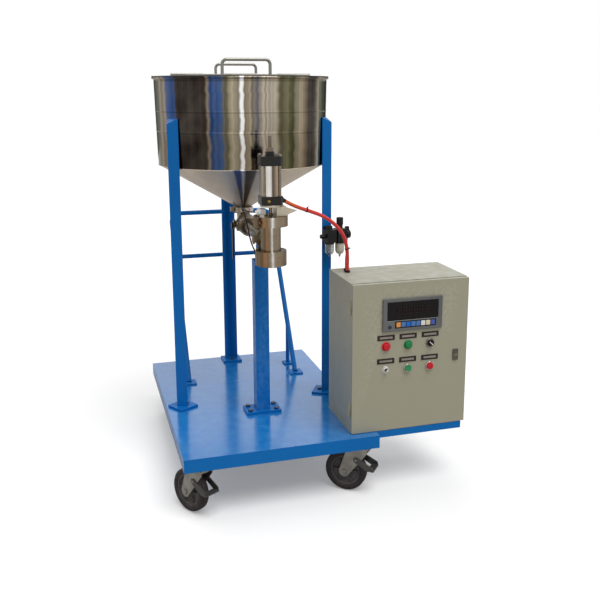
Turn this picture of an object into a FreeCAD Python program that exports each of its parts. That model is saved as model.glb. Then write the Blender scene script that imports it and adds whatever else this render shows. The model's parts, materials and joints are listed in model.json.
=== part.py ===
import FreeCAD, Part
import math
import os
import re
import Sketcher
from types import SimpleNamespace
from FreeCAD import Placement, Rotation, Vector

# Mobile oil filling machine: a stainless hopper on three angle legs feeds a pneumatic filling
# valve through a shut-off valve, beside a control box, all on a wheeled deck.
# Millimetres. +X runs along the front edge to the right, +Y runs back, +Z up, floor at z = 0.
# Places on the machine are given from the deck's front left corner, at the height of its top.

SIZES = [
    # frame of the model: the deck corner's place from the origin
    ("origin_x", 498.2),
    ("origin_y", 554.8),
    # clearances
    ("seat_gap", 0.3),
    ("run_gap", 0.06),
    ("hole_gap", 0.5),
    # deck, its folded skirt and the shelf that carries the control box
    ("deck_width", 680.0),
    ("deck_depth", 990.0),
    ("deck_sheet", 3.0),
    ("skirt_height", 47.0),
    ("shelf_tube", 25.0),
    ("shelf_inset", 12.0),
    # frame under the deck
    ("plate_recess", 30.0),
    ("rail_width", 85.0),
    ("spar_width", 40.0),
    ("spar_inset", 190.0),
    ("tube_wall", 3.0),
    # castors
    ("castor_height", 190.0),
    ("castor_inset_x", 58.0),
    ("castor_inset_y", 41.0),
    ("castor_plate_x", 100.0),
    ("castor_plate_y", 70.0),
    ("castor_plate_thick", 4.0),
    ("castor_bolt_x", 76.0),
    ("castor_bolt_y", 50.0),
    ("cup_radius", 32.0),
    ("cup_height", 14.0),
    ("kingpin_radius", 8.0),
    ("kingpin_head", 13.0),
    ("kingpin_head_thick", 6.0),
    ("crown_thick", 8.0),
    ("crown_radius", 36.0),
    ("arm_thick", 4.0),
    ("arm_gap", 3.0),
    ("boss_radius", 19.0),
    ("wheel_radius", 75.0),
    ("wheel_width", 38.0),
    ("wheel_trail", 50.0),
    ("wheel_hub_radius", 18.0),
    ("wheel_rim_radius", 52.0),
    ("wheel_web", 14.0),
    ("tyre_round", 4.0),
    ("axle_radius", 6.0),
    ("axle_head", 10.0),
    ("axle_head_thick", 5.0),
    ("pedal_thick", 3.0),
    ("pedal_pin_radius", 4.0),
    ("pedal_reach", 60.0),
    ("pedal_tread", 24.0),
    # fasteners
    ("castor_bolt_radius", 4.0),
    ("floor_bolt_radius", 5.0),
    ("floor_bolt_length", 30.0),
    # hopper
    ("hopper_x", "=deck_width / 2"),
    ("hopper_y", 620.0),
    ("drum_foot_z", 900.0),
    ("drum_height", 321.0),
    ("drum_foot_radius", 316.0),
    ("drum_top_radius", 323.0),
    ("drum_wall", 2.0),
    ("rim_radius", 330.0),
    ("rim_thick", 4.0),
    ("neck_z", 722.0),
    ("neck_height", 2.0),
    ("lid_thick", 1.5),
    ("lid_turn", -7.7),
    ("bridge_width", 40.0),
    ("bridge_thick", 3.0),
    ("hinge_radius", 5.0),
    ("hinge_pin_radius", 3.0),
    ("hinge_web", 10.0),
    ("knuckle_length", 60.0),
    ("knuckle_pitch", 200.0),
    ("handle_width", 164.0),
    ("handle_height", 60.0),
    ("handle_radius", 5.5),
    ("handle_bend", 16.0),
    ("handle_offset", 279.0),
    # legs
    ("leg_side", 40.0),
    ("leg_wall", 4.0),
    ("leg_height", 1075.0),
    ("leg_bevel", 18.0),
    ("leg_cap", 4.0),
    ("foot_side", 80.0),
    ("foot_thick", 8.0),
    ("foot_shift", 28.0),
    ("foot_bolt", 45.0),
    # valve post
    ("post_y", 340.0),
    ("post_side", 50.0),
    ("post_wall", 3.0),
    ("post_top", 578.0),
    ("post_base_x", 130.0),
    ("post_base_y", 80.0),
    ("post_base_thick", 10.0),
    ("post_bolt_x", 98.0),
    ("post_bolt_y", 50.0),
    ("saddle_side", 24.0),
    ("saddle_wall", 5.0),
    # push handle
    ("rail_left_x", 119.0),
    ("rail_right_x", "=deck_width - 112"),
    ("rail_foot_y", 700.0),
    ("rail_top_z", 639.0),
    ("rail_lean", 33.5),
    ("rail_radius", 10.0),
    ("rail_bend", 45.0),
    ("low_bar_z", 466.0),
    ("strut_y", 825.0),
    ("strut_radius", 8.0),
    ("rail_foot_side", 54.0),
    ("rail_foot_thick", 6.0),
    # feed line
    ("pipe_radius", 25.4),
    ("pipe_bore", 22.0),
    ("flange_radius", 32.0),
    ("flange_thick", 6.0),
    ("elbow_bend", 44.0),
    ("clamp_radius", 39.0),
    ("clamp_width", 18.0),
    ("lug_width", 14.0),
    ("lug_height", 11.0),
    ("wing_radius", 4.0),
    ("wing_length", 34.0),
    ("stop_valve_length", 62.0),
    ("stop_valve_radius", 37.0),
    ("stop_ball_radius", 28.0),
    ("stem_radius", 7.0),
    ("lever_offset", 56.0),
    ("lever_length", 128.0),
    ("lever_width", 16.0),
    ("lever_thick", 5.0),
    # filling head, stacked upwards from the outlet
    ("head_y", 170.0),
    ("outlet_z", 590.0),
    ("nozzle_height", 46.0),
    ("nozzle_tip_height", 14.0),
    ("nozzle_radius", 46.0),
    ("nozzle_tip_radius", 42.0),
    ("nozzle_bore", 20.0),
    ("body_length", 109.0),
    ("body_radius", 34.0),
    ("body_bore", 30.0),
    ("body_flange_low", 46.0),
    ("body_flange_high", 50.0),
    ("body_flange_thick", 7.0),
    ("low_clamp_radius", 53.0),
    ("low_clamp_drop", 42.0),
    ("low_clamp_width", 50.0),
    ("high_clamp_radius", 58.0),
    ("high_clamp_width", 34.0),
    ("yoke_height", 48.0),
    ("yoke_disc_thick", 7.0),
    ("yoke_web_x", 34.0),
    ("yoke_web_y", 60.0),
    ("yoke_web_offset", 14.0),
    ("head_side", 72.0),
    ("head_chamfer", 8.0),
    ("low_head_height", 29.0),
    ("high_head_height", 31.0),
    ("barrel_length", 101.0),
    ("barrel_radius", 35.0),
    ("barrel_bore", 31.5),
    ("gland_radius", 15.0),
    ("gland_height", 14.0),
    ("tie_offset", 28.0),
    ("tie_radius", 3.0),
    ("tie_nut_radius", 6.5),
    ("tie_nut_height", 6.0),
    ("rod_radius", 6.0),
    ("plug_radius", 26.0),
    ("plug_height", 16.0),
    ("piston_height", 20.0),
    ("piston_lift", 8.0),
    ("plunger_travel", 30.0),
    ("rod_tail", 52.0),
    ("stop_nut_radius", 11.0),
    ("stop_nut_height", 12.0),
    ("sensor_radius", 12.0),
    ("sensor_length", 26.0),
    ("sensor_stub", 8.0),
    ("sensor_foot", 14.0),
    ("fitting_radius", 8.0),
    ("fitting_length", 12.0),
    ("fitting_slope", 30.0),
    ("port_radius", 5.0),
    # air preparation unit on the right leg
    ("unit_z", 638.0),
    ("unit_reach", 36.0),
    ("unit_shift", 12.0),
    ("module_side", 40.0),
    ("module_height", 48.0),
    ("module_spacing", 6.0),
    ("bowl_radius", 17.0),
    ("bowl_height", 48.0),
    ("bowl_wall", 2.0),
    ("knob_radius", 13.0),
    ("knob_height", 28.0),
    ("bonnet_radius", 11.0),
    ("bonnet_height", 14.0),
    ("bracket_thick", 3.0),
    ("bracket_side", 34.0),
    ("bracket_height", 64.0),
    ("coupling_radius", 17.0),
    ("coupling_length", 16.0),
    # control box
    ("box_x", "=deck_width - 93"),
    ("box_y", 32.0),
    ("box_width", 430.0),
    ("box_depth", 260.0),
    ("box_height", 536.0),
    ("box_sheet", 1.5),
    ("door_depth", 18.0),
    ("door_gap", 0.4),
    ("door_trim", 2.0),
    ("hinge_barrel", 3.5),
    ("hinge_core", 2.0),
    ("hinge_length", 50.0),
    ("hinge_drop", 60.0),
    ("display_width", 221.0),
    ("display_height", 116.0),
    ("display_x", 107.0),
    ("display_z", "=box_height - 173"),
    ("bezel_proud", 8.0),
    ("bezel_rim", 9.0),
    ("meter_depth", 70.0),
    ("window_width", 190.0),
    ("window_height", 65.0),
    ("window_rise", 39.0),
    ("column_left", 122.0),
    ("column_mid", 204.0),
    ("column_right", 287.0),
    ("row_high", "=box_height - 226"),
    ("row_low", "=box_height - 310"),
    ("label_rise", 31.0),
    ("label_width", 64.0),
    ("label_height", 19.0),
    ("label_thick", 1.5),
    ("bezel_radius", 16.0),
    ("bezel_depth", 6.0),
    ("button_radius", 12.5),
    ("button_proud", 5.0),
    ("button_travel", 4.0),
    ("button_shaft", 8.0),
    ("switch_body", 11.0),
    ("switch_depth", 40.0),
    ("selector_radius", 12.0),
    ("selector_height", 10.0),
    ("toggle_radius", 2.5),
    ("toggle_length", 18.0),
    ("toggle_ball", 5.0),
    ("lock_x", "=box_width - 44"),
    ("lock_z", "=box_height - 279"),
    ("lock_width", 20.0),
    ("lock_height", 40.0),
    ("lock_proud", 4.0),
    ("lock_core", 7.0),
    ("cam_length", 26.0),
    ("panel_thick", 2.0),
    ("panel_inset", 25.0),
    ("panel_standoff", 12.0),
    # hoses
    ("hose_radius", 6.5),
    ("tube_radius", 3.0),
    ("cable_radius", 2.5),
    ("gland_nut_radius", 11.0),
    ("gland_nut_height", 8.0),
]

SIZE_NAMES = {name for name, _ in SIZES}
DOC = FreeCAD.newDocument("OilFillingMachine")
SHEET = DOC.addObject("Spreadsheet::Sheet", "Sizes")
for row, (size_name, size_value) in enumerate(SIZES, start=1):
    SHEET.set(f"A{row}", size_name)
    SHEET.set(f"B{row}", str(size_value))
    SHEET.setAlias(f"B{row}", size_name)
DOC.recompute()
S = SimpleNamespace(**{name: float(SHEET.get(name)) for name, _ in SIZES})
DECK_TOP = S.castor_height + S.plate_recess
UPRIGHT = Rotation()
ALONG_X = Rotation(Vector(0, 1, 0), 90)
ALONG_Y = Rotation(Vector(1, 0, 0), -90)
NODES = {}


# Helpers


def spot(x, y, z=0.0):
    """Place measured from the deck's front left corner, at its top face."""
    return Vector(x - S.origin_x, y - S.origin_y, DECK_TOP + z)


def formula(text):
    """Point every size name in a formula at its cell."""
    return re.sub(r"[a-z][a-z_]*", lambda m: "Sizes." + m.group() if m.group() in SIZE_NAMES else m.group(), text)


def bind(item, **formulas):
    for property_name, text in formulas.items():
        item.setExpression(property_name, formula(text))
    return item


def block(name, length, width, height, corner=Vector(), turn=UPRIGHT):
    item = DOC.addObject("Part::Box", name)
    item.Placement = Placement(corner, turn)
    return bind(item, Length=length, Width=width, Height=height)


def rod(name, radius, height, foot=Vector(), turn=UPRIGHT):
    item = DOC.addObject("Part::Cylinder", name)
    item.Placement = Placement(foot, turn)
    return bind(item, Radius=radius, Height=height)


def hexagon(name, radius, height, foot=Vector(), turn=UPRIGHT):
    item = DOC.addObject("Part::Prism", name)
    item.Polygon = 6
    item.Placement = Placement(foot, turn)
    return bind(item, Circumradius=radius, Height=height)


def joined(name, *pieces):
    item = DOC.addObject("Part::MultiFuse", name)
    item.Shapes = list(pieces)
    return item


def cut(name, base, *tools):
    item = DOC.addObject("Part::Cut", name)
    item.Base = base
    item.Tool = tools[0] if len(tools) == 1 else joined(name + "_tools", *tools)
    return item


def group(name, pieces):
    item = DOC.addObject("Part::Compound", name)
    item.Links = list(pieces)
    return item


def shaped(name, shape):
    item = DOC.addObject("Part::Feature", name)
    item.Shape = shape
    return item


def keep(label, item, place=None):
    """Name a finished piece and, where given, put it in its place."""
    item.Label = label
    if place is not None:
        item.Placement = place
    NODES[label] = item
    return item


def fix_point(sketch, axis, vertex, text):
    """Hold one vertex of an outline at a formula's distance from the sketch's origin."""
    if text == "0":
        sketch.addConstraint(Sketcher.Constraint("PointOnObject", vertex, 1, -2 if axis == "X" else -1))
        return
    start = sketch.Geometry[vertex].StartPoint
    value = start.x if axis == "X" else start.y
    number = sketch.addConstraint(Sketcher.Constraint("Distance" + axis, -1, 1, vertex, 1, value))
    sketch.setExpression(f"Constraints[{number}]", formula(text))


def outline(body, name, plane, points):
    """Closed polygon in one of the body's origin planes, each point a pair of formulas."""
    sketch = body.newObject("Sketcher::SketchObject", name)
    support = next(item for item in body.Origin.OriginFeatures if item.Role == plane)
    sketch.AttachmentSupport = [(support, "")]
    sketch.MapMode = "FlatFace"
    count = len(points)
    ring = [Vector(100 + 50 * math.cos(math.tau * n / count), 100 + 50 * math.sin(math.tau * n / count), 0)
            for n in range(count)]
    for index in range(count):
        sketch.addGeometry(Part.LineSegment(ring[index], ring[(index + 1) % count]), False)
    for index in range(count):
        sketch.addConstraint(Sketcher.Constraint("Coincident", index, 2, (index + 1) % count, 1))
    for index, (across, up) in enumerate(points):
        fix_point(sketch, "X", index, across)
        fix_point(sketch, "Y", index, up)
    return sketch


def turned(name, points, place=Placement()):
    """Turned piece: an outline of radius and height formulas, revolved about the upright axis."""
    body = DOC.addObject("PartDesign::Body", name)
    sketch = outline(body, name + "_outline", "XZ_Plane", points)
    turning = body.newObject("PartDesign::Revolution", name + "_turning")
    turning.Profile = sketch
    turning.ReferenceAxis = (sketch, ["V_Axis"])
    turning.Angle = 360
    body.Placement = place
    return body


def plate(name, points, thickness, place=Placement()):
    """Flat piece: an outline in the upright XZ plane, thickened towards -Y."""
    body = DOC.addObject("PartDesign::Body", name)
    sketch = outline(body, name + "_outline", "XZ_Plane", points)
    pad = body.newObject("PartDesign::Pad", name + "_pad")
    pad.Profile = sketch
    bind(pad, Length=thickness)
    body.Placement = place
    return body


def tube_block(name, length, width, height, corner, along):
    """Rectangular tube, open at both ends along X or Y."""
    outer = block(name + "_outer", length, width, height, corner)
    wall = S.tube_wall
    if along == "x":
        inner = block(name + "_inner", length, f"{width} - 2 * tube_wall", f"{height} - 2 * tube_wall",
                      corner + Vector(0, wall, wall))
    else:
        inner = block(name + "_inner", f"{length} - 2 * tube_wall", width, f"{height} - 2 * tube_wall",
                      corner + Vector(wall, 0, wall))
    return cut(name, outer, inner)


def rounded_wire(points, bend=None, report=None):
    """Straight runs joined by tangent arcs; with no bend given, each arc is as large as its runs allow."""
    edges = []
    start = points[0]
    radii = []
    for before, corner, after in zip(points, points[1:], points[2:]):
        back = (before - corner).normalize()
        ahead = (after - corner).normalize()
        half_turn = (math.pi - back.getAngle(ahead)) / 2
        shorter = min((before - corner).Length, (after - corner).Length)
        radius = bend if bend else 0.45 * shorter / math.tan(half_turn)
        reach = radius * math.tan(half_turn)
        inner = (back + ahead).normalize() * (radius / math.cos(half_turn) - radius)
        edges.append(Part.LineSegment(start, corner + back * reach).toShape())
        edges.append(Part.Arc(corner + back * reach, corner + inner, corner + ahead * reach).toShape())
        start = corner + ahead * reach
        radii.append(radius)
    edges.append(Part.LineSegment(start, points[-1]).toShape())
    wire = Part.Wire(edges)
    if report:
        print(report, "length", round(wire.Length, 1), "radii", [round(radius) for radius in radii])
    return wire


def swept(name, points, radius, bend=None, report=None):
    """Round bar or hose along a rounded route."""
    wire = rounded_wire(points, bend, report)
    circle = Part.Circle(points[0], points[1] - points[0], radius).toShape()
    solid = wire.makePipeShell([Part.Wire([circle])], True, False)
    if report:
        print(report, "volume over section times length",
              round(solid.Volume / (math.pi * radius ** 2 * wire.Length), 5))
    return shaped(name, solid)


# Deck, shelf and the frame under them


FOOT_ANGLES = {"rear": 90.0, "left": 210.0, "right": 330.0}
TIP_DEPTH = (S.leg_side + S.leg_wall) / math.sqrt(2)
TIP_OFFSET = (S.leg_side - S.leg_wall) / math.sqrt(2)


def drum_radius(z):
    """Outside radius of the tapered drum at a height above the deck."""
    share = (z - S.drum_foot_z) / (S.drum_height - S.rim_thick)
    return S.drum_foot_radius + share * (S.drum_top_radius - S.drum_foot_radius)


LEG_RADIUS = math.sqrt((drum_radius(S.leg_height) + S.seat_gap) ** 2 - TIP_OFFSET ** 2) + TIP_DEPTH


def around_hopper(radius, angle):
    turn = math.radians(angle)
    return S.hopper_x + radius * math.cos(turn), S.hopper_y + radius * math.sin(turn)


def floor_bolt_places():
    """Place of each bolt that holds a foot to the deck, the thickness above and that below the deck's top."""
    places = []
    for label, angle in FOOT_ANGLES.items():
        below = S.deck_sheet + (S.tube_wall if label == "rear" else 0)
        places.append((*around_hopper(LEG_RADIUS - S.foot_bolt, angle), S.foot_thick, below))
    for side in (-1, 1):
        for end in (-1, 1):
            places.append((S.hopper_x + side * S.post_bolt_x / 2, S.post_y + end * S.post_bolt_y / 2,
                           S.post_base_thick, S.deck_sheet))
    return places


CASTOR_PLACES = {
    "front_left": (S.castor_inset_x, S.castor_inset_y, -59.0),
    "front_right": (S.deck_width - S.castor_inset_x, S.castor_inset_y, -39.0),
    "rear_left": (S.castor_inset_x, S.deck_depth - S.castor_inset_y, 196.0),
    "rear_right": (S.deck_width - S.castor_inset_x, S.deck_depth - S.castor_inset_y, -28.0),
}


def castor_bolt_places():
    places = []
    for x, y, _ in CASTOR_PLACES.values():
        for side in (-1, 1):
            for end in (-1, 1):
                places.append((x + side * S.castor_bolt_x / 2, y + end * S.castor_bolt_y / 2))
    return places


def build_deck():
    outer = block("deck_outer", "deck_width", "deck_depth", "skirt_height", spot(0, 0, -S.skirt_height))
    inner = block("deck_inner", "deck_width - 2 * deck_sheet", "deck_depth - 2 * deck_sheet",
                  "skirt_height - deck_sheet", spot(S.deck_sheet, S.deck_sheet, -S.skirt_height))
    holes = [rod(f"deck_hole_{n}", "floor_bolt_radius + hole_gap", "deck_sheet", spot(x, y, -S.deck_sheet))
             for n, (x, y, _, _) in enumerate(floor_bolt_places())]
    pan = cut("deck_pan", outer, inner, *holes)
    reach = "box_x + box_width - shelf_inset - deck_width"
    shelf_outer = block("shelf_outer", reach, "box_depth", "shelf_tube",
                        spot(S.deck_width, S.box_y, -S.shelf_tube))
    shelf_window = block("shelf_window", f"{reach} - shelf_tube", "box_depth - 2 * shelf_tube", "shelf_tube",
                         spot(S.deck_width, S.box_y + S.shelf_tube, -S.shelf_tube))
    shelf = cut("shelf", shelf_outer, shelf_window)
    keep("deck", joined("deck", pan, shelf))


def build_under_frame():
    low = -S.plate_recess
    height = "plate_recess - deck_sheet"
    inset = S.deck_sheet + S.seat_gap
    length = "deck_width - 2 * deck_sheet - 2 * seat_gap"
    front = tube_block("front_rail", length, "rail_width", height, spot(inset, inset, low), "x")
    rear = tube_block("rear_rail", length, "rail_width", height,
                      spot(inset, S.deck_depth - inset - S.rail_width, low), "x")
    spar_length = "deck_depth - 2 * deck_sheet - 2 * seat_gap - 2 * rail_width"
    left = tube_block("left_spar", "spar_width", spar_length, height,
                      spot(S.spar_inset, inset + S.rail_width, low), "y")
    right = tube_block("right_spar", "spar_width", spar_length, height,
                       spot(S.deck_width - S.spar_inset - S.spar_width, inset + S.rail_width, low), "y")
    frame = joined("under_frame_whole", front, rear, left, right)
    holes = [rod(f"rail_hole_{n}", "castor_bolt_radius + hole_gap", "tube_wall", spot(x, y, low))
             for n, (x, y) in enumerate(castor_bolt_places())]
    for x, y, _, below in floor_bolt_places():
        if below > S.deck_sheet:
            holes.append(rod("rail_hole_rear_foot", "floor_bolt_radius + hole_gap", "tube_wall", spot(x, y, -below)))
    keep("under_frame", cut("under_frame", frame, *holes))


def build_bolts():
    """Hexagon bolts of the feet and of the castor plates, one group of separate solids."""
    bolts = []
    for n, (x, y, grip, below) in enumerate(floor_bolt_places()):
        head = hexagon(f"floor_head_{n}", "floor_bolt_radius * 1.8", "floor_bolt_radius * 1.4", spot(x, y, grip))
        shank = rod(f"floor_shank_{n}", "floor_bolt_radius", "floor_bolt_length",
                    spot(x, y, grip - S.floor_bolt_length))
        nut = hexagon(f"floor_nut_{n}", "floor_bolt_radius * 1.8", "floor_bolt_radius * 1.6",
                      spot(x, y, -below - 1.6 * S.floor_bolt_radius))
        bolts.append(joined(f"floor_bolt_{n}", head, shank, nut))
    for n, (x, y) in enumerate(castor_bolt_places()):
        under = -S.plate_recess - S.castor_plate_thick
        head = hexagon(f"castor_head_{n}", "castor_bolt_radius * 1.8", "castor_bolt_radius * 1.3",
                       spot(x, y, under - 1.3 * S.castor_bolt_radius))
        shank = rod(f"castor_shank_{n}", "castor_bolt_radius",
                    "castor_plate_thick + tube_wall + castor_bolt_radius * 2", spot(x, y, under))
        nut = hexagon(f"castor_nut_{n}", "castor_bolt_radius * 1.8", "castor_bolt_radius * 1.6",
                      spot(x, y, -S.plate_recess + S.tube_wall))
        bolts.append(joined(f"castor_bolt_{n}", head, shank, nut))
    keep("deck_bolts", group("deck_bolts", bolts))


# Castors, in their own frame: swivel axis at the origin, floor at z = 0, +X towards the brake


CUP_FOOT = S.castor_height - S.castor_plate_thick - S.cup_height
CROWN_TOP = CUP_FOOT - S.seat_gap
CROWN_FOOT = CROWN_TOP - S.crown_thick
ARM_INNER = S.wheel_width / 2 + S.arm_gap
ARM_OUTER = ARM_INNER + S.arm_thick
PEDAL_PIVOT = Vector(-6.0, 0, 126.0)


def castor_place(name):
    x, y, heading = CASTOR_PLACES[name]
    return Placement(Vector(x - S.origin_x, y - S.origin_y, 0), Rotation(Vector(0, 0, 1), heading))


def build_castor_plate(name):
    x, y, _ = CASTOR_PLACES[name]
    base = block(f"top_plate_{name}", "castor_plate_x", "castor_plate_y", "castor_plate_thick",
                 Vector(-S.castor_plate_x / 2, -S.castor_plate_y / 2, S.castor_height - S.castor_plate_thick))
    cup = rod(f"cup_{name}", "cup_radius", "cup_height", Vector(0, 0, CUP_FOOT))
    pin_foot = CROWN_FOOT - S.seat_gap - S.kingpin_head_thick
    pin = rod(f"kingpin_{name}", "kingpin_radius",
              "kingpin_head_thick + crown_thick + 2 * seat_gap", Vector(0, 0, pin_foot))
    head = rod(f"kingpin_head_{name}", "kingpin_head", "kingpin_head_thick", Vector(0, 0, pin_foot))
    whole = joined(f"castor_plate_{name}_whole", base, cup, pin, head)
    holes = []
    for side in (-1, 1):
        for end in (-1, 1):
            holes.append(rod(f"plate_hole_{name}_{len(holes)}", "castor_bolt_radius + hole_gap",
                             "castor_plate_thick",
                             Vector(side * S.castor_bolt_x / 2, end * S.castor_bolt_y / 2,
                                    S.castor_height - S.castor_plate_thick)))
    piece = cut(f"castor_plate_{name}", whole, *holes)
    piece.Placement = Placement(Vector(x - S.origin_x, y - S.origin_y, 0), UPRIGHT)
    return piece


def build_fork(name):
    side_reach = "wheel_width / 2 + arm_gap + arm_thick"
    top = "castor_height - castor_plate_thick - cup_height - seat_gap"
    crown = block(f"crown_{name}", "crown_radius * 2", f"2 * ({side_reach})", "crown_thick",
                  Vector(-S.crown_radius - 2, -ARM_OUTER, CROWN_FOOT))
    race = rod(f"race_{name}", "crown_radius", "crown_thick", Vector(0, 0, CROWN_FOOT))
    arm_points = [
        ("-crown_radius - 2", top),
        ("crown_radius - 2", top),
        ("crown_radius - 2", f"{top} - crown_thick - 9"),
        ("-wheel_trail + boss_radius * 0.93", "wheel_radius - boss_radius * 0.4"),
        ("-wheel_trail - boss_radius * 0.95", "wheel_radius + boss_radius * 0.3"),
    ]
    arms = []
    for label, face in (("near", -ARM_INNER), ("far", ARM_OUTER)):
        arm = plate(f"arm_{label}_{name}", arm_points, "arm_thick", Placement(Vector(0, face, 0), UPRIGHT))
        boss = rod(f"boss_{label}_{name}", "boss_radius", "arm_thick",
                   Vector(-S.wheel_trail, face - S.arm_thick, S.wheel_radius), ALONG_Y)
        arms += [arm, boss]
    pins = []
    if name.startswith("front"):
        for n, face in enumerate((-ARM_OUTER - S.pedal_thick - 2 * S.seat_gap, ARM_INNER)):
            pins.append(rod(f"pedal_pin_{n}_{name}", "pedal_pin_radius", "arm_thick + pedal_thick + 2 * seat_gap",
                            Vector(PEDAL_PIVOT.x, face, PEDAL_PIVOT.z), ALONG_Y))
    whole = joined(f"fork_whole_{name}", crown, race, *arms, *pins)
    kingpin_bore = rod(f"kingpin_bore_{name}", "kingpin_radius + run_gap", "crown_thick", Vector(0, 0, CROWN_FOOT))
    axle_bore = rod(f"axle_bore_{name}", "axle_radius + run_gap", f"2 * ({side_reach})",
                    Vector(-S.wheel_trail, -ARM_OUTER, S.wheel_radius), ALONG_Y)
    fork = cut(f"fork_{name}", whole, kingpin_bore, axle_bore)
    axle = rod(f"axle_{name}", "axle_radius", f"2 * ({side_reach})",
               Vector(-S.wheel_trail, -ARM_OUTER, S.wheel_radius), ALONG_Y)
    heads = [hexagon(f"axle_head_{n}_{name}", "axle_head", "axle_head_thick",
                     Vector(-S.wheel_trail, face, S.wheel_radius), ALONG_Y)
             for n, face in enumerate((-ARM_OUTER - S.axle_head_thick, ARM_OUTER))]
    bolt = joined(f"axle_bolt_{name}", axle, *heads)
    keep(f"castor_fork_{name}", group(f"castor_fork_{name}", [fork, bolt]), castor_place(name))


def build_wheel(name):
    half = "wheel_width / 2"
    hub_half = "wheel_width / 2 + arm_gap - seat_gap"
    right_side = [
        ("axle_radius + run_gap", hub_half),
        ("wheel_hub_radius", hub_half),
        ("wheel_hub_radius", "wheel_web / 2"),
        ("wheel_rim_radius", "wheel_web / 2"),
        ("wheel_rim_radius", f"{half} - tyre_round"),
        ("wheel_rim_radius + tyre_round", half),
        ("wheel_radius - tyre_round", half),
        ("wheel_radius", f"{half} - tyre_round"),
    ]
    left_side = [(radius, f"-({height})") for radius, height in reversed(right_side)]
    wheel = turned(f"castor_wheel_{name}", right_side + left_side)
    centre = Placement(Vector(-S.wheel_trail, 0, S.wheel_radius), ALONG_Y)
    keep(f"castor_wheel_{name}", wheel, castor_place(name) * centre)


def build_pedal(name):
    points = [
        ("-14", "134"),
        ("-2", "136"),
        ("pedal_reach - 3", "108"),
        ("pedal_reach", "92"),
        ("pedal_reach - pedal_tread", "92"),
        ("-8", "116"),
        ("-15", "121"),
    ]
    cheeks = [plate(f"pedal_cheek_{n}_{name}", points, "pedal_thick", Placement(Vector(0, face, 0), UPRIGHT))
              for n, face in enumerate((-ARM_OUTER - S.seat_gap, ARM_OUTER + S.seat_gap + S.pedal_thick))]
    tread = block(f"pedal_tread_{name}", "pedal_tread",
                  "wheel_width + 2 * (arm_gap + arm_thick + seat_gap + pedal_thick)", "pedal_thick + 2",
                  Vector(S.pedal_reach - S.pedal_tread, -ARM_OUTER - S.seat_gap - S.pedal_thick, 92))
    whole = joined(f"pedal_whole_{name}", *cheeks, tread)
    bore = rod(f"pedal_bore_{name}", "pedal_pin_radius + run_gap",
               "wheel_width + 2 * (arm_gap + arm_thick + seat_gap + pedal_thick)",
               Vector(PEDAL_PIVOT.x, -ARM_OUTER - S.seat_gap - S.pedal_thick, PEDAL_PIVOT.z), ALONG_Y)
    keep(f"castor_pedal_{name}", cut(f"castor_pedal_{name}", whole, bore), castor_place(name))


# Legs, valve post and push handle


def build_leg(label, angle):
    """Angle iron with its corner outwards, a sloping cap and a foot plate; +X points at the hopper."""
    flange_one = block(f"leg_flange_one_{label}", "leg_side", "leg_wall", "leg_height")
    flange_two = block(f"leg_flange_two_{label}", "leg_wall", "leg_side", "leg_height")
    cap = DOC.addObject("Part::Wedge", f"leg_cap_{label}")
    bind(cap, Xmin="0", Ymin="0", Zmin="0", Xmax="leg_side", Ymax="leg_side", Zmax="leg_bevel + leg_cap",
         X2min="0", Z2min="0", X2max="0", Z2max="leg_bevel + leg_cap")
    cap.Placement = Placement(Vector(0, 0, S.leg_height - S.leg_bevel - S.leg_cap), UPRIGHT)
    angle_iron = joined(f"leg_iron_{label}", flange_one, flange_two, cap)
    angle_iron.Placement = Placement(Vector(), Rotation(Vector(0, 0, 1), -45))
    slope = math.degrees(math.atan2(S.leg_bevel, S.leg_side / math.sqrt(2)))
    bevel = block(f"leg_bevel_{label}", "leg_side * 2", "leg_side * 2", "leg_side",
                  Vector(0, -S.leg_side, S.leg_height - S.leg_bevel), Rotation(Vector(0, 1, 0), -slope))
    bevelled = cut(f"leg_bevelled_{label}", angle_iron, bevel)
    foot = block(f"leg_foot_{label}", "foot_side", "foot_side", "foot_thick",
                 Vector(S.foot_shift - S.foot_side / 2, -S.foot_side / 2, 0))
    hole = rod(f"leg_hole_{label}", "floor_bolt_radius + hole_gap", "foot_thick", Vector(S.foot_bolt, 0, 0))
    leg = joined(f"leg_{label}", bevelled, cut(f"leg_foot_drilled_{label}", foot, hole))
    x, y = around_hopper(LEG_RADIUS, angle)
    keep(f"leg_{label}", leg, Placement(spot(x, y), Rotation(Vector(0, 0, 1), angle + 180)))


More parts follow.
